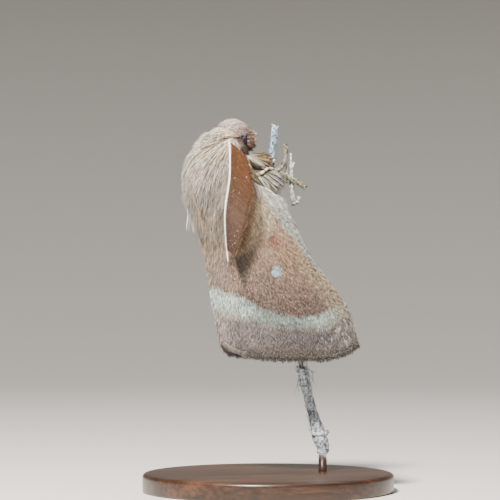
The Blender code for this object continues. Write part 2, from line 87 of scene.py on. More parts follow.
# the smooth curve through the knots, read at shares 0 to 1: each span is the cubic that leaves
# one knot and meets the next with half the step between their neighbours
def curveAt(knots, shares):
    knots = np.asarray(knots, float)
    steps = np.asarray(shares, float) * (len(knots) - 1)
    first = np.clip(steps.astype(int), 0, len(knots) - 2)
    part = (steps - first)[..., None]
    padded = np.vstack([2 * knots[0] - knots[1], knots, 2 * knots[-1] - knots[-2]])
    before, start, end, after = (padded[first + k] for k in range(4))
    return 0.5 * (2 * start + (end - before) * part
                  + (2 * before - 5 * start + 4 * end - after) * part ** 2
                  + (3 * start - before - 3 * end + after) * part ** 3)


# a body's section at a place: the curve through rows of (place, middle, half depth, half width)
def sectionAt(rows, place):
    rows = np.asarray(rows, float)
    return curveAt(rows[:, 1:], np.interp(place, rows[:, 0], np.linspace(0, 1, len(rows))))


# soft random patches from -1 to 1: values on a square grid of the given cell, eased between
def patchNoise(x, y, cell, seed):
    side = 64
    table = np.random.default_rng(seed).uniform(-1, 1, (side, side))
    x, y = np.asarray(x) / cell, np.asarray(y) / cell
    column, row = np.floor(x).astype(int), np.floor(y).astype(int)
    across, along = smoothStep(0, 1, x - column), smoothStep(0, 1, y - row)
    corners = [[table[(row + j) % side, (column + k) % side] for k in (0, 1)] for j in (0, 1)]
    near, far = (left * (1 - across) + right * across for left, right in corners)
    return near * (1 - along) + far * along


# three patch values for each place, as a direction; each is shifted by one along x or along y
def patchWave(x, y, cell, seed, alongX):
    patches = [patchNoise(x + k * alongX, y + k * (1 - alongX), cell, seed + k) for k in range(3)]
    return np.stack(patches, axis=-1)


# meshes

# puts points (mm), quads and triangles into a new object that rides on the model's one body
def putMesh(name, points, quads, triangles, finish, slot, replaced=(), tint=None, unwrap=None):
    quads = np.asarray(quads, np.int32).reshape(-1, 4)
    triangles = np.asarray(triangles, np.int32).reshape(-1, 3)
    mesh = bpy.data.meshes.new(name)
    mesh.vertices.add(len(points))
    mesh.vertices.foreach_set("co", (np.asarray(points, float) * mm).astype(np.float32).ravel())
    corners = np.concatenate([quads.ravel(), triangles.ravel()])
    mesh.loops.add(len(corners))
    mesh.loops.foreach_set("vertex_index", corners)
    mesh.polygons.add(len(quads) + len(triangles))
    starts = np.concatenate([np.arange(len(quads)) * 4, 4 * len(quads) + np.arange(len(triangles)) * 3])
    mesh.polygons.foreach_set("loop_start", starts.astype(np.int32))
    mesh.update(calc_edges=True)
    mesh.polygons.foreach_set("use_smooth", np.full(len(mesh.polygons), True))
    if tint is not None:
        colour = np.ones((len(points), 4), np.float32)
        colour[:, :3] = np.clip(tint, 0, 1)
        mesh.attributes.new("tint", "FLOAT_COLOR", "POINT").data.foreach_set("color", colour.ravel())
    if unwrap is not None:
        mesh.uv_layers.new(name="OFBake").data.foreach_set("uv", np.asarray(unwrap, np.float32).ravel())
    mesh.materials.append(finish)
    piece = bpy.data.objects.new(name, mesh)
    bpy.context.scene.collection.objects.link(piece)
    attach(piece, "root")
    if replaced:
        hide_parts(*replaced)


# quads of a grid whose rows run along it and whose columns close round it
def gridQuads(rows, columns):
    here = np.arange(rows * columns).reshape(rows, columns)
    beside = np.roll(here, -1, axis=1)
    return np.stack([here[:-1], beside[:-1], beside[1:], here[1:]], axis=-1).reshape(-1, 4)


# points, quads and triangles of a closed form over rings, with a point in the middle of each end
def closedRings(rings, firstEnd=None, lastEnd=None):
    rows, columns = rings.shape[:2]
    ends = np.stack([rings[0].mean(0) if firstEnd is None else firstEnd,
                     rings[-1].mean(0) if lastEnd is None else lastEnd])
    j = np.arange(columns)
    after = (j + 1) % columns
    foot, top = rows * columns, rows * columns + 1
    low = np.stack([np.full(columns, foot), after, j], axis=-1)
    high = np.stack([np.full(columns, top), (rows - 1) * columns + j, (rows - 1) * columns + after], axis=-1)
    return np.vstack([rings.reshape(-1, 3), ends]), gridQuads(rows, columns), np.vstack([low, high])


# a form worked out on the left, put on the given side
def onSide(form, side):
    points, quads, triangles = form
    if side < 0:
        points, quads, triangles = points * (1, -1, 1), quads[:, ::-1], triangles[:, ::-1]
    return points, quads, triangles


# side and over directions along a path: side is level or nearly so, over is square to both
def frameAlong(path, level=(0.0, 1.0, 0.0)):
    ahead = unitRows(np.gradient(path, axis=0))
    side = unitRows(np.cross(ahead, np.broadcast_to(level, path.shape)))
    return side, np.cross(ahead, side)


# rings of a tube along a path; radius has one value for each ring, or one for each ring and turn
def tubeRings(path, radius, sides, level=(0.0, 1.0, 0.0)):
    side, over = frameAlong(path, level)
    turn = np.linspace(0, 2 * np.pi, sides, endpoint=False)[None, :, None]
    radius = np.asarray(radius, float)
    radius = (radius[:, None] if radius.ndim == 1 else radius)[..., None]
    return path[:, None] + radius * (side[:, None] * np.cos(turn) + over[:, None] * np.sin(turn))


# several closed forms as one set of points and faces
def joinForms(forms):
    starts = np.cumsum([0] + [len(form[0]) for form in forms])
    points = np.vstack([form[0] for form in forms])
    quads, triangles = (np.vstack([form[k] + start for form, start in zip(forms, starts)]) for k in (1, 2))
    return points, quads, triangles


# both sides, in the order in which they are made
sides = (("Right", -1.0), ("Left", 1.0))


def makePair(make, name):
    for word, side in sides:
        make(name + word, side)


# hair and scales

# paths of hairs over a surface. shape(u, v, depth) gives its points; a hair starts at (u, v), and
# each step goes the way that lie gives, turned into steps of u and v by the surface's own slopes
def hairPaths(shape, u, v, length, lie, depths, steps):
    u, v, small = u.copy(), v.copy(), 1e-3
    path, out = [], []
    for k in range(steps + 1):
        here = shape(u, v, depths[k])
        path.append(here)
        out.append(shape(u, v, depths[k] + 0.05) - here)
        if k == steps:
            break
        slopeU = (shape(u + small, v, depths[k]) - here) / small
        slopeV = (shape(u, v + small, depths[k]) - here) / small
        way = lie(here)
        uu, uv, vv = (slopeU * slopeU).sum(-1), (slopeU * slopeV).sum(-1), (slopeV * slopeV).sum(-1)
        wu, wv = (slopeU * way).sum(-1), (slopeV * way).sum(-1)
        whole = np.maximum(uu * vv - uv * uv, 1e-6)
        du, dv = (vv * wu - uv * wv) / whole, (uu * wv - uv * wu) / whole
        speed = np.maximum(np.linalg.norm(slopeU * du[:, None] + slopeV * dv[:, None], axis=-1), 1e-6)
        u, v = u + du * length / steps / speed, v + dv * length / steps / speed
    return np.stack(path, axis=1), unitRows(np.stack(out, axis=1))


# one closed blade for each path: rings of three corners, two at its sides and one on its ridge,
# that narrow to the tip. tint is the colour at the root and at the tip; callers mostly take the root
# darker, as painted shade down among the hairs. Each blade is a patch 0.003 across in the map
# OFBake, at its root's place in rootMap
def putHair(name, path, out, width, tintRoot, tintTip, rootMap, finish, slot, side=1.0, belly=0.35,
            thickness=0.35, taper=0.6, replaced=()):
    count, rings = path.shape[0], path.shape[1] - 1
    ahead = unitRows(np.gradient(path, axis=1))
    beside = unitRows(np.cross(out, ahead))
    over = np.cross(ahead, beside)
    share = np.linspace(0, 1, rings + 1)[None, :-1, None]
    wide = width[:, None, None] * (0.55 + 0.45 * smoothStep(0, belly, share)) * (1 - share) ** taper
    body = path[:, :-1]
    beside, over = beside[:, :-1] * wide / 2, over[:, :-1] * wide * thickness
    corners = np.stack([body - beside, body + beside, body + over], axis=2).reshape(count, -1, 3)
    points = np.concatenate([corners, path[:, -1:]], axis=1)
    if side < 0:
        points = points * (1.0, -1.0, 1.0)
    k, j = np.meshgrid(np.arange(rings - 1), np.arange(3), indexing="ij")
    k, j = k.ravel(), j.ravel()
    quad = np.stack([3 * k + j, 3 * k + (j + 1) % 3, 3 * k + 3 + (j + 1) % 3, 3 * k + 3 + j], axis=-1)
    quadMap = np.stack([np.stack([j, j + 1, j + 1, j], axis=-1) / 3,
                        np.stack([k, k, k + 1, k + 1], axis=-1) / rings], axis=-1)
    j, last = np.arange(3), 3 * rings - 3
    triangle = np.vstack([np.stack([last + j, last + (j + 1) % 3, 0 * j + 3 * rings], axis=-1), [[2, 1, 0]]])
    triangleMap = np.concatenate([np.stack([np.stack([j, j + 1, j + 0.5], axis=-1) / 3,
                                            np.stack([0 * j + rings - 1, 0 * j + rings - 1, 0 * j + rings],
                                                     axis=-1) / rings], axis=-1),
                                  [[[0.6, 0.0], [0.3, 0.0], [0.0, 0.0]]]])
    if side < 0:
        quad, triangle = quad[:, ::-1], triangle[:, ::-1]
        quadMap, triangleMap = quadMap[:, ::-1], triangleMap[:, ::-1]
    start = (np.arange(count) * (3 * rings + 1))[:, None, None]
    patch = 0.003
    place = rootMap[:, None, None, :]
    bake = np.concatenate([(place + patch * (quadMap[None] - 0.5)).reshape(-1, 2),
                           (place + patch * (triangleMap[None] - 0.5)).reshape(-1, 2)])
    along = np.concatenate([np.repeat(np.arange(rings), 3) / rings, [1.0]])
    tint = tintRoot[:, None] + (tintTip - tintRoot)[:, None] * along[None, :, None]
    putMesh(name, points.reshape(-1, 3), (quad[None] + start).reshape(-1, 4),
            (triangle[None] + start).reshape(-1, 3), finish, slot, replaced=replaced,
            tint=tint.reshape(-1, 3), unwrap=bake)


# tufts of hair, each with its width drawn from a range: two factors make the tint darker at the
# root, as painted shade down among the hairs, and lighter at the tip, where nothing is brighter than
# the limit
def putTufts(name, path, out, widths, tint, factors, place, finish, slot, limit=math.inf, **shape):
    width = draw.uniform(*widths, len(path))
    putHair(name, path, out, width, tint * factors[0], np.minimum(tint * factors[1], limit), place,
            finish, slot, **shape)


# paths of hairs that leave their roots straight: along way for their length, rising along over to
# lift, and sinking by sag
def straightPaths(root, way, over, length, lift, steps, sag=0.0):
    path, down = [], np.array((0.0, 0.0, sag))
    for k in range(steps + 1):
        run = k / steps
        rise = lift * run ** 0.8 - 0.02 * (1 - run)
        path.append(root + way * (length * run)[:, None] + over * rise[:, None] - down * run ** 2)
    return np.stack(path, axis=1), np.repeat(over[:, None], steps + 1, axis=1)


# random places on a tube: share along it and turn round it, a point there, sunk to a share of the
# radius, and the ways out and ahead
def tubeSurface(knots, radii, count, span, sunk, level=(0.0, 1.0, 0.0)):
    share = draw.uniform(*span, count)
    turn = draw.uniform(0, 2 * np.pi, count)
    middle = curveAt(knots, share)
    ahead = unitRows(curveAt(knots, share + 1e-3) - curveAt(knots, share - 1e-3))
    side = unitRows(np.cross(ahead, np.broadcast_to(level, ahead.shape)))
    out = side * np.cos(turn)[:, None] + np.cross(ahead, side) * np.sin(turn)[:, None]
    radius = curveAt(np.array(radii)[:, None], share)[:, 0]
    return share, turn, middle + out * (radius * sunk)[:, None], out, ahead


# where hairs start at one depth of a shape, and the way out to another depth
def standOff(shape, height, turn, low, high):
    root = shape(height, turn, np.full(len(turn), low))
    return root, unitRows(shape(height, turn, np.full(len(turn), high)) - root)


# hairs of one tuft draw together towards its mean tip, more so further along
def gatherTips(path, tufts, pull):
    names, tufts = np.unique(tufts, return_inverse=True)
    share = np.bincount(tufts)
    mean = np.stack([np.bincount(tufts, path[:, -1, k]) / share for k in range(3)], axis=-1)
    run = np.linspace(0, 1, path.shape[1])[None, :, None] ** 1.4
    return path + pull * run * (mean[tufts] - path[:, -1])[:, None]


# depths of a hair from root to tip: sunk at the root, then out to its own height; strays stand higher
def risingDepths(count, steps, low, high, bend=0.8, strays=0.0):
    top = draw.uniform(low, high, count) + 0.16 * (draw.uniform(0, 1, count) < strays)
    return [(-0.12 + (top + 0.12) * (k / steps) ** bend) for k in range(steps + 1)]


# picks one colour for each hair from a list of (colour, share), and varies its brightness
def pickTints(count, palette, spread=0.08):
    shares = np.cumsum([share for _, share in palette])
    pick = np.searchsorted(shares / shares[-1], draw.uniform(0, 1, count))
    colours = np.array([hexColour(colour) for colour, _ in palette])[np.minimum(pick, len(palette) - 1)]
    return colours * draw.uniform(1 - spread, 1 + spread, (count, 1))


# materials

# adds a node with its settings; an input is a number, a colour or another node's output
def addNode(tree, kind, inputs=None, **settings):
    node = tree.nodes.new(kind)
    for key, value in settings.items():
        setattr(node, key, value)
    for key, value in (inputs or {}).items():
        if isinstance(value, bpy.types.NodeSocket):
            tree.links.new(value, node.inputs[key])
        else:
            node.inputs[key].default_value = value
    return node


# a material with its Principled shader, whose sockets are set from a dictionary
def startMaterial(name, sockets):
    made = bpy.data.materials.new(name)
    made.use_nodes = True
    tree = made.node_tree
    shader = tree.nodes["Principled BSDF"]
    for key, value in sockets.items():
        shader.inputs[key].default_value = value
    return made, tree, shader


# places in the object's own axes; a scale or a rotation stretches or turns what is drawn there
def objectPlace(tree, **stretch):
    place = addNode(tree, "ShaderNodeTexCoord").outputs["Object"]
    if stretch:
        place = addNode(tree, "ShaderNodeMapping", {"Vector": place, **stretch}).outputs["Vector"]
    return place


# the colour that a mesh carries at its points
def meshTint(tree):
    return addNode(tree, "ShaderNodeAttribute", attribute_name="tint").outputs["Color"]


# soft noise, with its size in mm
def addNoise(tree, place, size, **inputs):
    node = addNode(tree, "ShaderNodeTexNoise", {"Vector": place, "Scale": 1 / (size * mm), **inputs})
    return node.outputs["Fac"]


# rounded cells, with their size in mm
def addCells(tree, place, size):
    node = addNode(tree, "ShaderNodeTexVoronoi", {"Vector": place, "Scale": 1 / (size * mm)})
    return node.outputs["Distance"]


# a value carried from one range to another, each as (low, high)
def addRange(tree, value, given, wanted, **settings):
    keys = ("Value", "From Min", "From Max", "To Min", "To Max")
    node = addNode(tree, "ShaderNodeMapRange", dict(zip(keys, (value, *given, *wanted))), **settings)
    return node.outputs["Result"]


def addProduct(tree, a, b):
    return addNode(tree, "ShaderNodeVectorMath", {0: a, 1: b}, operation="MULTIPLY").outputs["Vector"]


# colour stops over a value, as (place, hex colour)
def addRamp(tree, value, stops):
    ramp = addNode(tree, "ShaderNodeValToRGB", {"Fac": value})
    elements = ramp.color_ramp.elements
    while len(elements) < len(stops):
        elements.new(0.5)
    for element, (place, colour) in zip(elements, stops):
        element.position = place
        element.color = (*hexColour(colour), 1.0)
    return ramp.outputs["Color"]


def joinColour(tree, shader, colour):
    tree.links.new(colour, shader.inputs["Base Color"])


# a bump from a height, with its depth in mm
def joinBump(tree, shader, height, strength, depth):
    bump = addNode(tree, "ShaderNodeBump", {"Height": height, "Strength": strength, "Distance": depth * mm})
    tree.links.new(bump.outputs["Normal"], shader.inputs["Normal"])


# chitin hair: thin pale blades that catch light along their length, each one its own tone
def makeHairMaterial(name, roughness, sheen, streak, gloss=0.5):
    made, tree, shader = startMaterial(name, {"Roughness": roughness, "IOR": 1.55, "Sheen Weight": sheen,
                                              "Sheen Roughness": 0.4, "Specular IOR Level": gloss})
    grain = addNoise(tree, objectPlace(tree), 0.35, Detail=2.0)
    tone = addRange(tree, grain, (0.3, 0.7), (1 - streak, 1 + streak))
    joinColour(tree, shader, addProduct(tree, meshTint(tree), tone))
    return made


print("stage: materials")
hairFinish = makeHairMaterial("chitinHair", 0.5, 0.2, 0.12)
scaleFinish = makeHairMaterial("chitinScales", 0.6, 0.25, 0.10)

# skin and wing membrane under the coat: the coat's own colour, with a bump of close scale rows
membraneFinish, tree, shader = startMaterial("scaledMembrane", {"Roughness": 0.7, "IOR": 1.55,
                                                                "Sheen Weight": 0.2})
# scale rows are really 0.1 mm apart, and drawn about 0.2 mm apart so that they show
cells = addCells(tree, objectPlace(tree), 0.2)
tone = addRange(tree, cells, (0.0, 0.8), (0.95, 0.65))
joinColour(tree, shader, addProduct(tree, meshTint(tree), tone))
joinBump(tree, shader, cells, 0.6, 0.05)

# the wings' shape, which the body's hair hangs over

wing = {
    "inner": ((-5.4, 3.20, 37.5), (-6.8, 3.10, 36.0), (-7.75, 2.40, 33.6), (-8.05, 1.10, 31.2),
              (-7.85, 0.46, 28.8), (-7.4, 0.42, 26.0), (-6.95, 0.42, 23.2), (-6.0, 0.42, 17.7)),
    "leading": ((-4.3, 3.30, 37.5), (-2.3, 3.50, 36.2), (-0.2, 3.75, 35.0), (1.2, 4.05, 33.2),
                (3.2, 4.85, 28.8), (5.6, 5.80, 25.0), (7.7, 6.70, 21.6), (8.65, 7.75, 17.4)),
    "arch": 1.6, "drop": 1.95, "thickness": 0.22, "lift": 0.10,
    "end": 0.986,                         # the membrane stops here, and the fringe goes on to 1
    "veins": (0.10, 0.24, 0.36, 0.47, 0.57, 0.67, 0.77, 0.88), "veinHeight": 0.045, "veinSpread": 0.011,
    # edges of the pale band, as (place across, share of the length)
    "bandInner": ((0.0, 0.776), (0.10, 0.793), (0.20, 0.795), (0.285, 0.812), (0.36, 0.838), (0.45, 0.856),
                  (0.60, 0.861), (0.78, 0.852), (0.89, 0.829), (0.95, 0.805), (1.0, 0.78)),
    "bandOuter": ((0.0, 0.884), (0.17, 0.874), (0.30, 0.880), (0.43, 0.892), (0.60, 0.892), (0.78, 0.886),
                  (0.92, 0.868), (1.0, 0.85)),
    # inner edge of the pale strip along the leading edge, as (share of the length, place across)
    "strip": ((0.0, 0.84), (0.20, 0.81), (0.242, 0.775), (0.35, 0.785), (0.42, 0.818), (0.46, 0.838),
              (0.495, 0.862), (0.53, 0.91), (0.55, 0.932), (0.62, 0.95), (0.66, 0.968),
              (0.72, 1.0), (1.0, 1.05)),
    "spotPlace": (0.66, 0.605), "spotRadius": 0.66,
    # edges of the painted shadow that the antenna casts on the wing, as (share of the length, place across)
    "antennaShadowInner": ((0.45, 0.22), (0.60, 0.270), (0.64, 0.268), (0.69, 0.260), (0.745, 0.268)),
    "antennaShadowOuter": ((0.32, 0.66), (0.45, 0.56), (0.59, 0.45), (0.65, 0.38), (0.745, 0.285)),
    "markPlace": (0.525, 0.700), "markRadius": 0.85,
    "hindShares": (0.31, 0.92), "hindRoot": (0.42, 0.62), "hindTip": (0.32, 0.95), "hindInside": 1.0,
    "hindEnd": 0.97,
    "scaleCount": 17400, "scaleLength": (0.46, 0.84), "scaleWidth": (0.066, 0.110),
    "longCount": 1900, "longLength": (1.2, 2.6), "streakCount": 640, "streakLength": (1.2, 2.3),
    "fringeCount": 2100, "fringeLength": 0.66, "marginCount": 1500, "marginLength": (0.6, 1.3),
    "underCount": 2100, "underLength": (0.6, 1.1), "underWidth": (0.09, 0.15),
}


# the wing's middle surface: straight from the inner margin to the leading edge, arched outwards
# by a skewed sine, with the outer margin bowed down
def wingMiddle(share, across):
    start, end = curveAt(wing["inner"], share), curveAt(wing["leading"], share)
    chord = end - start
    out = unitRows(np.stack([-chord[..., 1], chord[..., 0], 0 * share], axis=-1))
    bow = np.sin(np.pi * across) * (1 + 0.45 * np.cos(np.pi * across))
    height = (0.25 * smoothStep(0, 1, share * 6) + wing["arch"] * smoothStep(0, 1, share / 0.45)) * bow
    points = start + chord * across[..., None] + out * height[..., None]
    points[..., 2] -= wing["drop"] * (1 - np.abs(2 * across - 1) ** 4) * share ** 4
    return points


# outward direction at each place, from the surface's slopes
def wingOut(share, across):
    small = 1e-3
    along = wingMiddle(share + small, across) - wingMiddle(share - small, across)
    over = wingMiddle(share, across + small) - wingMiddle(share, across - small)
    return unitRows(np.cross(over, along))


# a place on the wing raised by a height in mm, with its veins as low ridges
def forewingShape(share, across, height):
    ridge = sum(bell(across, vein, wing["veinSpread"]) for vein in wing["veins"])
    ridge = ridge * smoothStep(0.05, 0.25, share) * wing["veinHeight"]
    return wingMiddle(share, across) + wingOut(share, across) * (wing["lift"] + ridge + height)[..., None]


# how far a place on the wing is from one of its marks, in mm
def markDistance(share, across, key):
    mark = wingMiddle(*np.array(wing[key])[:, None])[0]
    return np.linalg.norm(wingMiddle(share, across) - mark, axis=-1)


# the forewing's colours by place: cream base, red-brown middle, pale band, mauve-brown border,
# pale strip on the leading edge, white spot, a faint red mark and a painted shadow of the antenna
def forewingTint(share, across):
    wobble = 0.006 * patchNoise(across * 20, share * 20, 1.0, 31)
    wobble = wobble + 0.004 * patchNoise(across * 60, share * 60, 1.0, 32)
    bandInner = np.interp(across, *np.array(wing["bandInner"]).T) + wobble
    bandOuter = np.interp(across, *np.array(wing["bandOuter"]).T) + wobble
    mark = markDistance(share, across, "markPlace")
    # the colours darken down the wing partly as painted shade, for light that falls off lower down
    tint = paint(blend("#dac8ad", "#937763", smoothStep(0.33, 0.64, share)),
                 # painted shade on the wing's root beside the antenna shaft, as on the thorax
                 ("#9c897b", bell(across, 0.09, 0.09) * smoothStep(0.34, 0.22, share) * 0.8),
                 ("#977960", smoothStep(0.55, 0.75, across) * smoothStep(0.40, 0.56, share) * 0.9),
                 ("#6e5547", smoothStep(0.58, 0.80, share) * smoothStep(0.12, 0.45, across)),
                 ("#553e32", smoothStep(0.09, 0.0, bandInner - share) * smoothStep(0.05, 0.35, across) * 0.8),
                 ("#a59589", smoothStep(0.30, 0.05, across) * smoothStep(0.45, 0.6, share) * 0.8),
                 ("#84503a", smoothStep(wing["markRadius"] * 1.5, 0.2, mark) * 0.9),
                 ("#938369", smoothStep(0.80, 0.93, across) * smoothStep(0.45, 0.65, share) * 0.85))
    speckle = patchNoise(across * 30, share * 60, 0.35, 37) * smoothStep(0.6, 0.9, across)
    border = paint(blend("#726766", "#544949", smoothStep(0.20, 0.50, across)),
                   ("#463c3c", smoothStep(0.50, 0.75, across)),
                   ("#4f493f", smoothStep(0.86, 1.0, across) * 0.7),
                   ("#b5a9a3", smoothStep(0.15, 0.03, across) * 0.5),
                   ("#d3cfc8", np.clip(speckle - 0.1, 0, 1) * 0.9))
    tint = mixRows(tint, border, smoothStep(-0.010, 0.034, share - bandOuter))
    faded = 1 - 0.75 * smoothStep(0.84, 0.97, across)
    band = smoothStep(-0.006, 0.010, share - bandInner) * smoothStep(0.030, -0.014, share - bandOuter) * faded
    pale = paint(blend("#bfcfc7", "#71827d", smoothStep(0.12, 0.42, across)),
                 ("#919f98", smoothStep(0.55, 0.80, across)))
    tint = mixRows(tint, pale, band)
    # a brown line runs inside the pale strip
    strip = np.interp(share, *np.array(wing["strip"]).T)
    line = smoothStep(0.03, 0.0, np.abs(across - strip + 0.03)) * smoothStep(0.34, 0.42, share)
    tint = paint(tint, ("#7d5a45", line * smoothStep(0.60, 0.54, share) * 0.55))
    tint = mixRows(tint, blend("#f0efe6", "#999e97", smoothStep(0.25, 0.5, share)),
                   smoothStep(-0.012, 0.018, across - strip) * smoothStep(0.80, 0.66, share))
    spot = markDistance(share, across, "spotPlace") + 0.13 * patchNoise(across * 120, share * 160, 1.0, 41)
    # a painted shadow of the antenna lies on the wing, sharp on its inner side
    left, right = (np.interp(share, *np.array(wing[key]).T) for key in ("antennaShadowInner", "antennaShadowOuter"))
    part = np.clip((across - left) / np.maximum(right - left, 0.01), 0, 1)
    inside = smoothStep(-0.012, 0.010, across - left) * smoothStep(0.022, -0.018, across - right)
    paintedShade = inside * smoothStep(0.50, 0.61, share) * smoothStep(0.752, 0.722, share) * (0.92 - 0.36 * part)
    # then the white spot, the antenna's painted shadow, and a dark outer edge: partly the edge's own brown,
    # partly painted shadow under the margin
    return paint(tint, ("#b6cad7", smoothStep(wing["spotRadius"] + 0.06, wing["spotRadius"] - 0.08, spot)),
                 ("#2c2018", paintedShade),
                 ("#3a2a21", smoothStep(0.952, 0.980, share) * smoothStep(0.06, 0.28, across) * 0.9))


# a hair's place in the unwrap, by its place on the wing
def wingUnwrap(share, across):
    return np.stack([0.03 + 0.94 * across, 0.03 + 0.94 * share], axis=-1)


# the body: one skin from the tip of the abdomen to the crown

trunk = {
    # rows of height, middle x, half depth and half width
    "thoraxSkin": ((31.0, -6.2, 1.5, 1.3), (32.5, -6.25, 2.30, 1.5), (34.5, -6.20, 3.0, 2.1),
                   (37.3, -6.10, 3.2, 2.4), (39.0, -5.95, 3.1, 2.5), (40.4, -5.75, 2.8, 2.4),
                   (41.6, -5.40, 2.5, 2.05), (43.2, -5.1, 1.7, 1.4)),
    "thoraxCoat": ((29.2, -7.50, 1.20, 1.40), (31.2, -7.10, 2.10, 2.40), (33.0, -6.85, 2.95, 3.20),
                   (35.0, -6.60, 4.10, 3.80), (37.3, -6.45, 4.45, 4.00), (38.6, -6.42, 4.36, 3.90),
                   (40.0, -6.22, 3.98, 3.60), (41.6, -5.57, 3.08, 2.88), (43.4, -5.15, 1.52, 1.62)),
    "abdomenSkin": ((18.9, -3.70, 0.25, 0.25), (20.4, -3.75, 1.05, 0.95), (22.5, -3.90, 1.45, 1.35),
                    (25.5, -4.25, 1.65, 1.55), (28.5, -4.70, 1.65, 1.60), (31.0, -5.5, 1.5, 1.4)),
    "abdomenCoat": ((17.2, -3.50, 0.35, 0.35), (19.0, -3.65, 1.25, 1.15), (22.5, -3.90, 1.95, 1.85),
                    (25.5, -4.25, 2.15, 2.05), (28.5, -4.65, 2.15, 2.05), (31.0, -5.3, 1.9, 1.8)),
    "headMiddle": (-4.42, 0.0, 42.41),
    "headLean": 28.0,
    "headSkin": (1.95, 1.62, 1.45),      # half sizes towards the face, to the side and to the crown
    "headCoat": (2.75, 2.20, 2.02),
    "eyeMiddle": (-3.45, 1.35, 41.85),
    "eyeRadius": 0.8,
    "antennaRoot": (-4.85, 2.25, 42.3),
}
lean = math.radians(trunk["headLean"])
crownWay = np.array((math.sin(lean), 0.0, math.cos(lean)))
faceWay = np.array((math.cos(lean), 0.0, -math.sin(lean)))
sideWay = np.array((0.0, 1.0, 0.0))
upWay = np.array((0.0, 0.0, 1.0))


# a point of the upright body: height, turn from the belly side, and depth from skin 0 to coat 1
def uprightShape(skinRows, coatRows):
    def shape(height, turn, depth):
        row = mixRows(sectionAt(skinRows, height), sectionAt(coatRows, height), depth)
        along, aside = row[..., 0] + row[..., 1] * np.cos(turn), row[..., 2] * np.sin(turn)
        return np.stack([along, aside, height], axis=-1)
    return shape


thoraxShape = uprightShape(trunk["thoraxSkin"], trunk["thoraxCoat"])
abdomenShape = uprightShape(trunk["abdomenSkin"], trunk["abdomenCoat"])


# a point of the head: turn from the face over the crown to the nape, and swing out to the side;
# the nape is drawn in by up to a fifth
def headShape(turn, swing, depth):
    size = mixRows(np.array(trunk["headSkin"]), np.array(trunk["headCoat"]), depth)
    face = size[..., 0] * np.cos(turn) * np.cos(swing) * (1 - 0.19 * smoothStep(0.0, -0.7, np.cos(turn)))
    crown = size[..., 2] * np.sin(turn) * np.cos(swing)
    out = size[..., 1] * np.sin(swing)
    return (np.array(trunk["headMiddle"]) + face[..., None] * faceWay + crown[..., None] * crownWay
            + out[..., None] * sideWay)


# where a line along Y meets the wing's middle surface: its share and place across, by Newton's
# steps, which stay within these limits
shareLimits, acrossLimits = (-0.03, 1.02), (-0.4, 1.3)


def wingPlace(points):
    inner, leading = np.array(wing["inner"]), np.array(wing["leading"])
    share = np.interp(-points[:, 2], -inner[:, 2], np.linspace(0, 1, len(inner)))
    start, end = curveAt(inner, share), curveAt(leading, share)
    across = (points[:, 0] - start[:, 0]) / (end[:, 0] - start[:, 0])
    small = 1e-3
    for _ in range(5):
        share, across = np.clip(share, *shareLimits), np.clip(across, *acrossLimits)
        here = wingMiddle(share, across)
        along = (wingMiddle(share + small, across) - here) / small
        over = (wingMiddle(share, across + small) - here) / small
        gap = points - here
        whole = along[:, 0] * over[:, 2] - along[:, 2] * over[:, 0]
        share = share + (gap[:, 0] * over[:, 2] - gap[:, 2] * over[:, 0]) / whole
        across = across + (along[:, 0] * gap[:, 2] - along[:, 2] * gap[:, 0]) / whole
    return np.clip(share, *shareLimits), np.clip(across, *acrossLimits)


# hair that crosses a wing is carried over it: each point moves out to the wing and its own height
def carryOverWing(path, height):
    count, rings = path.shape[:2]
    points = path.reshape(-1, 3).copy()
    share, across = wingPlace(points)
    level = wingMiddle(share, across)[:, 1] + np.repeat(height, rings)
    on = smoothStep(-0.10, 0.04, across) * smoothStep(1.08, 0.96, across) * smoothStep(-0.02, 0.01, share)
    points[:, 1] += np.maximum(0, level - points[:, 1]) * on
    return points.reshape(path.shape)


thoraxTones = (("#ffffff", 0.30), ("#e8dbca", 0.30), ("#b89e86", 0.20), ("#584334", 0.20))
abdomenTones = (("#c9a88a", 0.4), ("#a88468", 0.4), ("#7d5e49", 0.2))
chestTones = (("#d5cab2", 0.20), ("#9a8a68", 0.30), ("#6a5c3f", 0.27), ("#352c1e", 0.23))
headTones = (("#fffaf5", 0.34), ("#e6d1c3", 0.34), ("#b99a8a", 0.20), ("#75594a", 0.12))


# the skin follows the sections of abdomen and thorax, then turns into the head's own round form
def makeSkin():
    heights = np.linspace(19.0, 41.8, 60)
    blend = smoothStep(30.0, 32.5, heights)[:, None]
    low, high = sectionAt(trunk["abdomenSkin"], heights), sectionAt(trunk["thoraxSkin"], heights)
    rows = low + (high - low) * blend
    turn = np.linspace(0, 2 * np.pi, 40, endpoint=False)
    rings = np.stack([rows[:, :1] + rows[:, 1:2] * np.cos(turn), rows[:, 2:] * np.sin(turn),
                      heights[:, None] + 0 * turn], axis=-1)
    neck = rings[-1]
    size = np.array(trunk["headSkin"])
    caps = []
    for share in np.linspace(-0.55, 0.985, 16):
        wide = math.sqrt(1 - share * share)
        caps.append(np.array(trunk["headMiddle"]) + size[2] * share * crownWay
                    + (size[0] * wide * np.cos(turn))[:, None] * faceWay
                    + (size[1] * wide * np.sin(turn))[:, None] * sideWay)
    bridge = [neck + (caps[0] - neck) * share for share in (0.33, 0.66)]
    return closedRings(np.concatenate([rings, np.stack(bridge), np.stack(caps)]))


print("stage: body")
points, quads, triangles = makeSkin()
skinTint = blend("#8a6f5c", "#a08876", smoothStep(28, 34, points[:, 2]))
putMesh("bodySkin", points, quads, triangles, membraneFinish, "body_fur", tint=skinTint,
        replaced=("head", "thorax", "abdomen"))


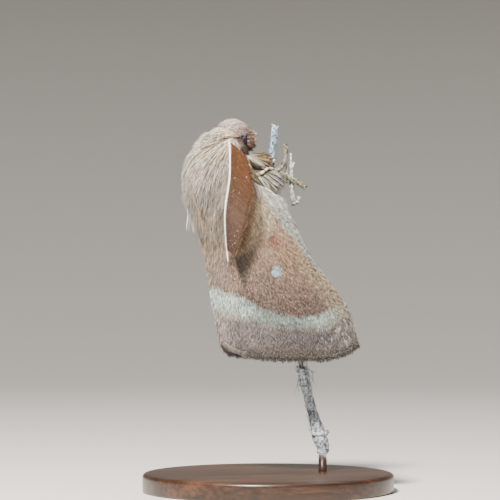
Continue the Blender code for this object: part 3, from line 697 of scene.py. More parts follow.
# thorax hair leaves the root of each antenna and fans out over the shoulder, back and down
def thoraxLie(point):
    root = np.array(trunk["antennaRoot"])
    ways = []
    for side in (-1.0, 1.0):
        away = point - root * (1.0, side, 1.0)
        distance = np.linalg.norm(away, axis=-1, keepdims=True)
        down = smoothStep(1.0, 9.0, distance) * 0.75
        ways.append(away / distance * (1 - down) - upWay * down)
    left = smoothStep(-2.2, 2.2, point[:, 1])[:, None]
    way = unitRows(ways[0] * (1 - left) + ways[1] * left)
    # none of it rises: the flattest hair, at the nape, still drops a little
    way[:, 2] = np.minimum(way[:, 2], -0.22)
    return unitRows(way)


# a hair's place in the unwrap, by its turn and its height on a body that reaches from low to high
def unwrapPlace(turn, height, low, high):
    return np.stack([0.02 + 0.96 * (turn / (2 * np.pi) % 1.0),
                     0.02 + 0.96 * (height - low) / (high - low)], axis=-1)


coat = {
    "thoraxCount": 7000, "thoraxHeights": (33.2, 43.3), "thoraxLength": (2.6, 4.0),
    "thoraxWidth": (0.052, 0.108),
    "shoulderCount": 3400, "shoulderLength": (2.4, 3.6), "shoulderWidth": (0.05, 0.095),
    "collarCount": 260, "collarLength": (0.6, 1.1), "collarWidth": (0.05, 0.09),
    "chestCount": 1500, "chestLength": (1.7, 2.9), "chestWidth": (0.06, 0.11),
    "cheekCount": 420, "cheekLength": (0.30, 0.62), "cheekWidth": (0.05, 0.09),
    "headCount": 5300, "headLength": (1.0, 1.9), "headWidth": (0.05, 0.095),
    "abdomenCount": 1700, "abdomenLength": (1.8, 2.8), "abdomenWidth": (0.10, 0.18),
    # heights that the unwraps of thorax and abdomen reach over
    "thoraxMap": (29, 44), "abdomenMap": (17, 32),
    # single strands: path, how many hairs, and how far they spread
    "looseStrands": (
        (((-10.0, 1.5, 36.4), (-10.0, 1.65, 35.3), (-9.92, 1.7, 34.5), (-9.49, 1.75, 33.7),
          (-9.28, 1.8, 32.9), (-9.40, 1.85, 31.8), (-9.49, 1.85, 30.05)), 17, 0.11),
        (((-9.38, 1.6, 33.4), (-9.07, 1.7, 32.4), (-8.85, 1.75, 31.4), (-8.76, 1.8, 30.2)), 11, 0.11),
        (((-8.95, 1.6, 32.8), (-8.57, 1.7, 31.6), (-8.36, 1.75, 30.9), (-8.27, 1.8, 30.1)), 10, 0.11),
        (((-9.76, 1.3, 34.3), (-9.60, 1.4, 33.0), (-9.72, 1.5, 31.8), (-9.78, 1.5, 30.7)), 8, 0.10),
        (((-8.55, 1.5, 32.3), (-8.18, 1.6, 31.2), (-7.98, 1.6, 30.6), (-7.86, 1.6, 30.0)), 9, 0.11)),
    "sweepStrands": (
        (((-3.3, 2.0, 39.9), (-2.9, 2.2, 39.6), (-2.2, 2.42, 39.15), (-0.7, 2.55, 38.25)), 19, 0.19),),
    "rootStrands": (
        (((-2.5, 3.75, 35.95), (-1.9, 3.88, 35.4), (-1.1, 3.98, 34.6), (-0.3, 4.12, 33.6)), 40, 0.10),
        (((-2.2, 3.65, 36.15), (-1.3, 3.80, 35.75), (-0.4, 3.95, 35.0), (0.5, 4.12, 33.8)), 40, 0.08)),
}


# the thorax's hair covers the back and the flanks, and hangs over the roots of the wings
def makeThoraxCoat(name, side):
    count = coat["thoraxCount"]
    height = draw.uniform(*coat["thoraxHeights"], count)
    turn = draw.uniform(0, np.pi, count)
    # over the wing's root the hair starts above it and hangs over it
    beside = (turn > 0.9) & (turn < 1.9)
    height = np.where(beside & (height < 37.6), draw.uniform(37.6, 42.0, count), height)
    back = smoothStep(0.8, 1.5, turn)
    length = draw.uniform(*coat["thoraxLength"], count) * (0.45 + 0.55 * back)
    length *= 1 - 0.45 * smoothStep(41.0, 43.3, height)
    length *= 1 + 0.20 * smoothStep(39.5, 37.6, height) * beside
    sway = 0.10 * patchNoise(turn * 3, height, 0.5, 5)[:, None] * np.array((0.6, 0.0, 0.8))
    jitter = sway + draw.normal(0, 0.07, (count, 3))

    def lie(point):
        return unitRows(thoraxLie(point * (1.0, side, 1.0)) * (1.0, side, 1.0) + jitter)

    depths = risingDepths(count, 4, 0.72, 1.04, 0.75, strays=0.05)
    # below the eye the hair is short and close, so that the eye shows, and dark brown, deepened as painted
    # shade under the head
    front = smoothStep(1.50, 1.28, turn) * smoothStep(39.9, 40.6, height)
    length *= 1 - 0.55 * front
    depths = [level * (1 - 0.45 * front) for level in depths]
    path, out = hairPaths(thoraxShape, height, turn, length, lie, depths, 4)
    path = carryOverWing(path, draw.uniform(0.18, 0.75, count))
    tufts = np.floor(turn * 8 + draw.uniform(-0.3, 0.3, count)) * 100 + np.floor(height * 2.2)
    path = gatherTips(path, tufts, 0.20)
    tint = pickTints(count, thoraxTones, 0.14)
    tint = tint * (1 + 0.10 * patchNoise(turn * 3.5, height, 0.55, 9)[:, None])
    yellow = smoothStep(38, 33, height) * smoothStep(1.6, 2.6, turn)
    yellow = yellow * (0.5 + 0.5 * patchNoise(turn, height, 1.5, 3))
    tint = mixRows(tint, tint * np.array((0.95, 0.86, 0.70)), yellow)
    # painted light high on the back, painted shade beside the shaft and low down, and cream, brighter hair
    # towards the neck
    tip = path[:, -1, 2]
    light = 0.22 * bell(turn, 2.3, 0.5) * smoothStep(35.0, 36.5, tip) * smoothStep(40.5, 39.0, tip)
    shade = 0.18 * bell(turn, 1.80, 0.36) * smoothStep(38.0, 36.0, tip)
    low = 0.30 * smoothStep(40.0, 36.0, height) + 0.16 * smoothStep(34.8, 33.4, height)
    neck = smoothStep(40.3, 41.6, height)
    tint = tint * (1 + light - shade - low + 0.26 * neck)[:, None]
    tint = tint * (1 - neck[:, None] * np.array((0.0, 0.055, 0.19)))
    tint = mixRows(tint, hexColour("#38271d") * draw.uniform(0.7, 1.5, (count, 1)), front * 0.92)
    # roots are taken dark as painted shade down among the hairs, less so near the crown, where the hair is
    # thin
    paintedShade = (0.50 + 0.22 * smoothStep(40.8, 41.8, height))[:, None]
    putTufts(name, path, out, coat["thoraxWidth"], tint, (paintedShade, 1.10),
             unwrapPlace(turn, height, *coat["thoraxMap"]), hairFinish, "body_fur", limit=1.0, side=side)


makePair(makeThoraxCoat, "coatThorax")


# the shoulder's hair is rooted on the wing's base and lies as the thorax's does
def makeShoulderCoat(name, side):
    count = coat["shoulderCount"]
    across = -0.03 + 0.69 * draw.uniform(0, 1, count) ** 1.2
    share = draw.uniform(0.01, 0.42, count) * (1 - 0.30 * smoothStep(0.25, 0.66, across))
    length = draw.uniform(*coat["shoulderLength"], count) * (1 - 0.50 * smoothStep(0.25, 0.62, across))
    jitter = draw.normal(0, 0.07, (count, 3)) + 0.08 * patchWave(across * 16, share * 30, 1.0, 81, 0)

    def lie(point):
        return unitRows(thoraxLie(point * (1.0, -1.0, 1.0)) * (1.0, -1.0, 1.0) + jitter)

    top = draw.uniform(0.18, 0.80, count) * (1 - 0.65 * smoothStep(0.10, 0.60, across))
    top = top * (1 - 0.4 * smoothStep(0.2, 0.4, share))
    depths = [top * (k / 4) ** 0.7 - 0.05 * (1 - k / 4) for k in range(5)]
    path, out = hairPaths(forewingShape, share, across, length, lie, depths, 4)
    tufts = np.floor(across * 24 + draw.uniform(-0.3, 0.3, count)) * 100 + np.floor(share * 22)
    path = gatherTips(path, tufts, 0.22)
    # the thorax's tones, taken darker as painted shade low on the body, and a little warmer
    tint = pickTints(count, thoraxTones, 0.20) * (0.66, 0.62, 0.58)
    tint = mixRows(tint, forewingTint(share, across) * np.exp(draw.normal(0.05, 0.26, (count, 1))),
                   smoothStep(0.34, 0.66, across + 0.5 * share))
    # painted shade beside the shaft, as on the thorax
    shade = 0.32 * bell(across, 0.12, 0.11) * smoothStep(-0.02, 0.06, share)
    tint = np.clip(tint * (1 - shade)[:, None], 0, 1)
    putTufts(name, path, out, coat["shoulderWidth"], tint, (0.50, 1.10), wingUnwrap(share, across),
             hairFinish, "body_fur", limit=1.0, side=side)


# a ruff of short hair at the neck stands up and back in small spikes
def makeCollar(name, side):
    count = coat["collarCount"]
    height, turn = draw.uniform(41.0, 42.7, count), draw.uniform(1.9, np.pi, count)
    root, out = standOff(thoraxShape, height, turn, 0.55, 0.95)
    way = unitRows(out * 0.55 + np.array((-0.45, 0.0, 0.12)) + draw.normal(0, 0.16, (count, 3)))
    length = draw.uniform(*coat["collarLength"], count)
    path, outs = straightPaths(root, way, np.tile(upWay, (count, 1)), length,
                               draw.uniform(-0.1, 0.1, count), 3, sag=0.22)
    path = gatherTips(path, np.floor(turn * 7) * 100 + np.floor(height * 4), 0.50)
    putTufts(name, path, outs, coat["collarWidth"], pickTints(count, thoraxTones, 0.14), (0.75, 1.1),
             unwrapPlace(turn, height, *coat["thoraxMap"]), hairFinish, "body_fur", limit=1.0, side=side)


makePair(makeCollar, "coatCollar")


# hairs that follow given paths, each set as (path, count, spread): each hair covers its own part of
# its path, and they draw together to its end
def makeStrands(name, strands, palette, out, slot, side, widths=(0.08, 0.13)):
    paths = []
    for knots, count, spread in strands:
        start, reach = draw.uniform(0, 0.4, count)[:, None], draw.uniform(0.8, 1.0, count)[:, None]
        shares = start + (reach - start) * np.linspace(0, 1, 7)
        stray = draw.normal(0, spread, (count, 1, 3)) * (1 - 0.5 * shares[..., None])
        paths.append(curveAt(knots, shares) + stray)
    path = np.concatenate(paths)
    tint = pickTints(len(path), palette)
    putTufts(name, path, np.tile(out, (len(path), 7, 1)), widths, tint, (0.85, 1.0),
             np.linspace((0.3, 0.3), (0.3, 0.7), len(path)), hairFinish, slot, side=side)


whiteTones = (("#ffffff", 0.6), ("#eceae4", 0.3), ("#b9ae9f", 0.1))
brownTones = (("#ad9a86", 0.5), ("#8f7c69", 0.3), ("#6b594a", 0.2))
# the shoulders' long pale strands hang clear of the rest, whitest on the left
makeStrands("coatLooseLeft", coat["looseStrands"], whiteTones, (-0.7, 0.7, 0.0), "body_fur", 1.0,
            (0.04, 0.065))
makeStrands("coatLooseRight", coat["looseStrands"], brownTones, (-0.7, 0.7, 0.0), "body_fur", -1.0,
            (0.04, 0.07))
# white hairs sweep over each foreleg's fur, and others start the pale strip at each wing's root
for word, side in sides:
    makeStrands("coatSweep" + word, coat["sweepStrands"], whiteTones, (0.0, 1.0, 0.3), "leg_fur", side,
                (0.04, 0.065))
    makeStrands("coatRoot" + word, coat["rootStrands"], whiteTones, (0.0, 1.0, 0.3), "forewing", side)


# the chest's hair stands off the flank, down and forwards, between the comb and the legs
def makeChestCoat(name, side):
    count = coat["chestCount"]
    height = draw.uniform(34.5, 38.9, count)
    turn = draw.uniform(0.0, 1.3, count)
    root, out = standOff(thoraxShape, height, turn, 0.45, 0.8)
    wave = patchWave(turn * 5, height, 0.7, 91, 1)
    way = unitRows(np.array((0.28, 0.06, -0.95)) + out * 0.36 + wave * 0.14
                   + draw.normal(0, 0.08, (count, 3)))
    length = draw.uniform(*coat["chestLength"], count)
    path, outs = straightPaths(root, way, out, length, draw.uniform(0.1, 0.5, count), 3, sag=0.12)
    path = gatherTips(path, np.floor(turn * 5) * 100 + np.floor(height * 1.6), 0.35)
    tint = pickTints(count, chestTones, 0.14)
    putTufts(name, path, outs, coat["chestWidth"], tint, (0.45, 1.08),
             unwrapPlace(turn, height, *coat["thoraxMap"]), hairFinish, "body_fur", limit=1.0, side=side)


makePair(makeChestCoat, "coatChest")


# head hair leans forward over the face from the crown, and stands up at the nape
def makeHeadCoat():
    count = coat["headCount"]
    turn = np.radians(draw.uniform(-12, 205, count))
    swing = np.arcsin(draw.uniform(-0.985, 0.985, count))
    root = headShape(turn, swing, np.zeros(count))
    eye = np.array(trunk["eyeMiddle"])
    near = np.linalg.norm(np.abs(root) * (-1, 1, 1) - eye, axis=-1)
    clear = near > trunk["eyeRadius"] * 1.06
    turn, swing, root, near = turn[clear], swing[clear], root[clear], near[clear]
    count = len(turn)
    length = draw.uniform(*coat["headLength"], count) * (0.55 + 0.45 * smoothStep(0.2, 1.2, turn))
    length *= 1 - 0.35 * smoothStep(0.8, 1.3, np.abs(swing))
    # hair close to an eye is short and leaves it clear
    length *= 0.35 + 0.65 * smoothStep(0.95, 1.7, near)
    jitter = draw.normal(0, 0.11, (count, 3)) + 0.06 * patchWave(turn * 2, swing * 2, 0.4, 11, 0)

    def lie(point):
        away = point - np.array(trunk["headMiddle"])
        ahead = away @ faceWay
        forward = faceWay * 0.9 + crownWay * 0.15
        nape = smoothStep(0.2, -2.0, ahead)[:, None]
        drop = crownWay * 0.35 * smoothStep(0.6, 2.0, ahead)[:, None]
        return unitRows(forward * (1 - nape) + unitRows(away) * nape - drop + jitter)

    short = 0.35 + 0.65 * smoothStep(0.25, 0.75, turn)
    depths = [level * short for level in risingDepths(count, 4, 0.72, 1.06, 0.7, strays=0.09)]
    path, out = hairPaths(headShape, turn, swing, length * (0.5 + 0.5 * short), lie, depths, 4)
    tint = pickTints(count, headTones, 0.15)
    tint = tint * (1 + 0.13 * patchNoise(swing * 9, turn * 1.5, 0.4, 17))[:, None]
    tint = tint * (1 - np.array((0.12, 0.28, 0.30)) * smoothStep(0.35, 0.8, np.abs(swing))[:, None])
    # the hair round the eye is brown above it and bluish white behind it
    ahead, high = root[:, 0] - eye[0], root[:, 2] - eye[2]
    above = smoothStep(1.6, 1.0, near) * smoothStep(0.1, 0.5, high) * smoothStep(-0.45, 0.1, ahead)
    tint = mixRows(tint, hexColour("#462c1e") * draw.uniform(0.7, 1.2, (count, 1)), above * 0.95)
    tint = mixRows(tint, hexColour("#c3cae0") * draw.uniform(0.6, 1.1, (count, 1)),
                   0.8 * smoothStep(1.45, 1.0, near) * (1 - above) * smoothStep(0.0, -0.5, ahead))
    # a few dark hairs sweep over the eye's upper edge
    over = smoothStep(2.0, 1.5, near) * smoothStep(0.9, 1.2, near) * smoothStep(0.1, 0.4, high)
    over = over * smoothStep(-0.3, -0.7, ahead) * (draw.uniform(0, 1, count) < 0.45)
    tint = paint(tint, ("#483e46", over * 0.85))
    # the face between eyes and palps is dark brown, deepened as painted shade below the palps
    face = smoothStep(0.55, 0.20, turn)
    tint = mixRows(tint, hexColour("#4d3122") * draw.uniform(0.6, 1.3, (count, 1)), face * 0.9)
    place = np.stack([0.05 + 0.9 * (turn + 0.3) / 4.2, 0.05 + 0.9 * (swing / np.pi + 0.5)], axis=-1)
    putTufts("coatHead", path, out, coat["headWidth"], tint, (0.55, 1.08), place, hairFinish, "body_fur")


makeHeadCoat()


# short brown hair in front of each eye, rooted on its front and standing off towards the palps
def makeCheek(name, side):
    count = coat["cheekCount"]
    ahead, aside = np.array((0.94, 0.342, 0.0)), np.array((-0.342, 0.94, 0.0))
    turn = draw.uniform(-1.35, 1.35, count)
    front = draw.uniform(0.34, 1.0, count)
    high = np.sin(turn) * np.sqrt(1 - 0.3 * front ** 2)
    front = front * np.cos(turn * 0.5)
    away = np.sqrt(np.clip(1 - front ** 2 - high ** 2, 0.0, 1))
    out = unitRows(front[:, None] * ahead + high[:, None] * upWay + away[:, None] * aside)
    root = np.array(trunk["eyeMiddle"]) + out * trunk["eyeRadius"] * 0.97
    fan = np.sin(turn)[:, None] * 0.35 * upWay
    way = unitRows(ahead * 0.85 + out * 0.30 + fan + draw.normal(0, 0.16, (count, 3)))
    length = draw.uniform(*coat["cheekLength"], count)
    path, outs = straightPaths(root, way, out, length, draw.uniform(0.04, 0.14, count), 3)
    tint = pickTints(count, (("#3c281d", 0.45), ("#6b4a36", 0.33), ("#b59478", 0.22)), 0.2)
    putTufts(name, path, outs, coat["cheekWidth"], tint, (0.7, 1.0),
             np.stack([0.5 + turn / 4, front], axis=-1), hairFinish, "body_fur", side=side)


makePair(makeCheek, "coatCheek")


# the abdomen's hair hangs straight down, between the folded wings
def makeAbdomenCoat():
    count = coat["abdomenCount"]
    height = draw.uniform(19.0, 31.0, count)
    turn = draw.uniform(0, 2 * np.pi, count)
    length = draw.uniform(*coat["abdomenLength"], count)
    jitter = draw.normal(0, 0.1, (count, 3))

    def lie(point):
        return unitRows(jitter - upWay)

    depths = risingDepths(count, 3, 0.7, 1.05, 0.8)
    path, out = hairPaths(abdomenShape, height, turn, length, lie, depths, 3)
    putTufts("coatAbdomen", path, out, coat["abdomenWidth"], pickTints(count, abdomenTones), (0.7, 1.0),
             unwrapPlace(turn, height, *coat["abdomenMap"]), hairFinish, "body_fur")


makeAbdomenCoat()

# wings

# one closed thin sheet: rings run round it from the outer face over the margin to the inner face
def wingSheet(outerFace, innerFace):
    rows, columns = outerFace.shape[:2]
    rings = np.concatenate([outerFace, innerFace[:, ::-1]], axis=1)
    here = np.arange(columns - 1)
    last = (rows - 1) * 2 * columns
    foot = np.stack([here, 2 * columns - 1 - here, 2 * columns - 2 - here, here + 1], axis=-1)
    top = last + foot[:, ::-1]
    return rings.reshape(-1, 3), np.vstack([gridQuads(rows, 2 * columns), foot, top])


# a sheet's grid of places, closer together at its edges, and half its thickness at each; the sheet
# thins out at its sides and at its end, each as sharply as the numbers say
def sheetGrid(end, rows, columns, sideSharpness, endSharpness):
    places = (1 - np.cos(np.linspace(0, np.pi, columns))) / 2
    share, across = np.meshgrid(np.linspace(0, end, rows), places, indexing="ij")
    edge = np.minimum(1, np.minimum(across, 1 - across) * sideSharpness)
    edge = edge * np.minimum(1, (end - share) * endSharpness)
    return share, across, wing["thickness"] / 2 * np.sqrt(np.maximum(edge, 0.02))


# puts the outer and the inner face, with their tints, as one wing of the given side
def putWing(name, side, faces, tints, slot):
    points, quads = wingSheet(*faces)
    tint = np.concatenate([tints[0], tints[1][:, ::-1]], axis=1).reshape(-1, 3)
    node = name.replace("Right", "_right").replace("Left", "_left")
    putMesh(name, points * (1.0, side, 1.0), quads if side < 0 else quads[:, ::-1], [], membraneFinish, slot,
            tint=tint, replaced=(node,))


def makeForewing(name, side):
    share, across, half = sheetGrid(wing["end"], 120, 90, 30, 60)
    outerFace = forewingShape(share, across, half - wing["lift"])
    innerFace = wingMiddle(share, across) - wingOut(share, across) * half[..., None]
    inside = blend("#a98c76", "#8d7263", smoothStep(0.5, 0.9, share))
    putWing(name, side, (outerFace, innerFace), (forewingTint(share, across), inside), "forewing")


# the place on the forewing that a place on the hindwing lies under
def hindPlace(share, across):
    spread = smoothStep(0, 1, share * 2.5)
    low, high = (root + (tip - root) * spread for root, tip in zip(wing["hindRoot"], wing["hindTip"]))
    first, last = wing["hindShares"]
    return first + (last - first) * share, low + (high - low) * across


# the hindwing lies inside the forewing; a height raises a place towards the body
def hindwingShape(share, across, height):
    fore = hindPlace(share, across)
    return wingMiddle(*fore) - wingOut(*fore) * (wing["hindInside"] + height)[..., None]


def hindwingTint(share, across):
    band = smoothStep(0.06, 0.0, np.abs(share - 0.72 + 0.05 * across))
    return paint(blend("#b0967f", "#8f7260", smoothStep(0.2, 0.8, share)), ("#c3b5a2", band * 0.6))


def makeHindwing(name, side):
    share, across, half = sheetGrid(wing["hindEnd"], 70, 50, 20, 40)
    tint = hindwingTint(share, across)
    putWing(name, side, (hindwingShape(share, across, -half), hindwingShape(share, across, half)),
            (tint, tint), "hindwing")


# scales on a wing go straight along it, so their ways are worked out from two places on it
def scalePaths(shape, share, across, length, swerve, lift, steps):
    small = 2e-3
    here = shape(share, across, 0 * share)
    along = unitRows(shape(share + small, across, 0 * share) - here)
    sideways = unitRows(shape(share, across + small, 0 * share) - here)
    over = unitRows(np.cross(sideways, along))
    over = over * np.sign(((shape(share, across, 0 * share + 0.1) - here) * over).sum(-1, keepdims=True))
    way = unitRows(along + sideways * swerve[:, None])
    return straightPaths(here, way, over, length, lift, steps)


# scales over the whole forewing, each with its own tone, and raised on the white spot
def makeWingScales(name, side):
    count = wing["scaleCount"]
    share = draw.uniform(0.0, wing["end"], count) ** 0.72
    share = share / share.max() * wing["end"]
    across = draw.uniform(0.002, 0.998, count)
    length = draw.uniform(*wing["scaleLength"], count)
    raised = smoothStep(0.75, 0.5, markDistance(share, across, "spotPlace"))
    swerve = draw.normal(0.05, 0.16, count) + 0.15 * patchNoise(across * 20, share * 20, 1.0, 51)
    lift = draw.uniform(0.05, 0.19, count) + 0.10 * raised
    length *= (1 - 0.3 * raised) * (1 - 0.4 * smoothStep(0.93, 0.98, share))
    path, out = scalePaths(forewingShape, share, across, length, swerve, lift, 2)
    tone = np.exp(draw.normal(-0.04, 0.36, count) + 0.16 * patchNoise(across * 50, share * 50, 0.7, 53))
    pale = draw.uniform(0, 1, count) < 0.13
    dark = draw.uniform(0, 1, count) < 0.20
    tone = np.where(pale, tone * 1.5, np.where(dark, tone * 0.42, tone))
    tint = forewingTint(share + 0.006, across) * np.clip(tone, 0.25, 2.0)[:, None]
    putTufts(name, path, out, wing["scaleWidth"], tint, (0.70, 1.10), wingUnwrap(share, across), scaleFinish,
             "forewing", side=side, thickness=0.3)


# long hair over the wing's base and inner margin, and the fringe of its outer margin
def makeWingHair(name, side):
    count, streaks, fringe, margin = (wing[key + "Count"] for key in ("long", "streak", "fringe", "margin"))
    across = np.abs(draw.normal(0, 0.16, count))
    share = draw.uniform(0.02, 0.74, count) * (1 - 0.35 * smoothStep(0.1, 0.4, across))
    keep = across < 0.62
    share, across = share[keep], across[keep]
    count = len(share)
    length = draw.uniform(*wing["longLength"], count) * (1 - 0.5 * smoothStep(0.35, 0.8, share))
    swerve = draw.normal(0.0, 0.12, count)
    paths = [scalePaths(forewingShape, share, across, length, swerve, draw.uniform(0.12, 0.42, count), 3)]
    tints = [forewingTint(share, across) * np.exp(draw.normal(0.04, 0.24, (count, 1)))]
    maps = [wingUnwrap(share, across)]
    # long white hairs with buff ones between them run down the leading edge from its root
    share = draw.uniform(0.0, 0.30, streaks)
    across = draw.uniform(0.80, 0.995, streaks)
    length = draw.uniform(*wing["streakLength"], streaks)
    swerve, lift = draw.normal(0.0, 0.05, streaks), draw.uniform(0.05, 0.34, streaks)
    paths.append(scalePaths(forewingShape, share, across, length, swerve, lift, 3))
    tints.append(pickTints(streaks, (("#ffffff", 0.58), ("#dfe0d6", 0.27), ("#8b846f", 0.15)), 0.1))
    maps.append(wingUnwrap(share, across))
    # the fringe has two rows, and the one nearer the outside is shorter
    across = draw.uniform(0.0, 1.0, fringe)
    row = draw.integers(0, 2, fringe)
    share = wing["end"] - 0.002 - 0.004 * row
    wavy = 1 + 0.22 * patchNoise(across * 70, 0 * across, 1.0, 57)
    wavy = wavy + 0.12 * patchNoise(across * 240, 0 * across, 1.0, 58)
    length = wing["fringeLength"] * (1 - 0.30 * row) * draw.uniform(0.8, 1.15, fringe) * wavy
    lift = np.where(row == 0, draw.uniform(-0.10, 0.0, fringe), draw.uniform(0.02, 0.10, fringe)) - 0.05
    paths.append(scalePaths(forewingShape, share, across, length, draw.normal(0, 0.12, fringe), lift, 3))
    # the fringe's near-black tones are partly its own brown, partly painted shadow under the outer margin
    tone = pickTints(fringe, (("#1e1712", 0.45), ("#2f2720", 0.30), ("#120e0b", 0.25)))
    tints.append(mixRows(forewingTint(share - 0.03, across) * 1.15, tone, smoothStep(0.08, 0.30, across)))
    maps.append(wingUnwrap(share, across))
    # soft hair edges the inner margin, and hides where the sheet ends; it is taken paler as painted light,
    # where the thorax's hair shades the margin
    share = draw.uniform(0.12, 0.985, margin)
    across = draw.uniform(-0.004, 0.016, margin)
    length = draw.uniform(*wing["marginLength"], margin)
    swerve, lift = -np.abs(draw.normal(0.18, 0.14, margin)), draw.uniform(-0.30, 0.10, margin)
    paths.append(scalePaths(forewingShape, share, across, length, swerve, lift, 3))
    tints.append(forewingTint(share, across + 0.02) * draw.normal(1.2, 0.15, (margin, 1)))
    maps.append(wingUnwrap(share, across))
    path, out = (np.concatenate(rows) for rows in zip(*paths))
    tint = np.clip(np.concatenate(tints), 0, 1)
    width = np.concatenate([draw.uniform(0.05, 0.09, count), draw.uniform(0.06, 0.10, streaks),
                            draw.uniform(0.07, 0.13, fringe), draw.uniform(0.06, 0.10, margin)])
    putHair(name, path, out, width, tint * 0.62, np.clip(tint * 1.1, 0, 1), np.concatenate(maps), scaleFinish,
            "forewing", side=side)


# scales on the hindwing's face that looks inwards
def makeUnderScales(name, side):
    count = wing["underCount"]
    share, across = draw.uniform(0.0, wing["hindEnd"], count), draw.uniform(0.0, 1.0, count)
    half = wing["thickness"] / 2

    def inward(share, across, height):
        return hindwingShape(share, across, height + half)

    length, swerve = draw.uniform(*wing["underLength"], count), draw.normal(0, 0.15, count)
    path, out = scalePaths(inward, share, across, length, swerve, draw.uniform(0.04, 0.16, count), 2)
    tint = hindwingTint(share, across) * draw.normal(1.0, 0.13, (count, 1))
    putTufts(name, path, out, wing["underWidth"], tint, (0.8, 1.05), wingUnwrap(share, across), scaleFinish,
             "hindwing", side=side, thickness=0.2)


print("stage: wings")
for word, side in sides:
    makeShoulderCoat("coatShoulder" + word, side)
    makeForewing("forewing" + word, side)
    makeHindwing("hindwing" + word, side)
    makeWingScales("forewingScales" + word, side)
    makeWingHair("forewingHair" + word, side)
    makeUnderScales("hindwingScales" + word, side)

# antennae

# scaled white shaft: flat overlapping scales that throw most of the light back
shaftFinish, tree, shader = startMaterial("whiteScaledShaft", {
    "Roughness": 0.42, "IOR": 1.5, "Sheen Weight": 0.3, "Base Color": (*hexColour("#fbf8f3"), 1.0)})
# its scales are 0.03 mm wide, and drawn 0.08 mm wide
joinBump(tree, shader, addCells(tree, objectPlace(tree), 0.08), 0.5, 0.02)

# brown chitin closely set with fine bristles: they scatter the light, and leave it almost no shine
combFinish = makeHairMaterial("brownBristledChitin", 0.7, 0.0, 0.22, gloss=0.12)

antenna = {
    "path": ((-5.2, 1.4, 41.75), (-5.6, 2.15, 41.72), (-5.97, 3.00, 41.45), (-6.38, 4.4, 39.9),
             (-6.70, 5.15, 37.2), (-7.2, 5.2, 34.0), (-7.15, 4.85, 31.8), (-6.6, 4.05, 28.3),
             (-6.45, 3.87, 27.4)),
    "shaftRadius": 0.125,
    # how thick the shaft is, as (share of its length, share of the radius)
    "taper": ((0, 1.2), (0.03, 1.0), (0.75, 0.95), (0.93, 0.7), (1, 0.25)),
    # two rows of side branches: way as (x, outwards, z), longest branch, width, droop
    "rows": (((0.574, 0.819, -0.60), 3.95, 0.255, 0.55), ((0.90, 0.36, -0.58), 4.25, 0.24, 0.5)),
    # how long they are, from the first to the last: shares of the longest at places along the row
    "spread": (0, 0.06, 0.16, 0.30, 0.45, 0.60, 0.75, 0.88, 1.0),
    "nearLengths": (0.77, 0.83, 0.93, 0.97, 0.93, 0.88, 0.72, 0.56, 0.35),
    "farLengths": (0.15, 0.20, 0.40, 0.80, 1.0, 0.97, 0.84, 0.66, 0.36),
    "count": 66, "span": (0.111, 0.905),
    "cilia": 20, "ciliaLength": (0.10, 0.17), "ciliaWidth": (0.06, 0.095),
    "bristles": 5, "glintFlecks": 26, "glintFleckWidth": (0.07, 0.11),
}


# places at even distances along a curve, between two shares of its length
def evenPlaces(knots, span, count):
    fine = np.linspace(0, 1, 600)
    points = curveAt(knots, fine)
    run = np.concatenate([[0], np.cumsum(np.linalg.norm(np.diff(points, axis=0), axis=1))])
    return np.interp(np.linspace(*span, count) * run[-1], run, fine)


# points at places, counted in steps, along rows of points, and the step that each is in
def alongRows(rows, picks, where):
    step = np.minimum(where.astype(int), rows.shape[1] - 2)
    start, end = rows[picks, step], rows[picks, step + 1]
    return start + (end - start) * (where - step)[:, None], step


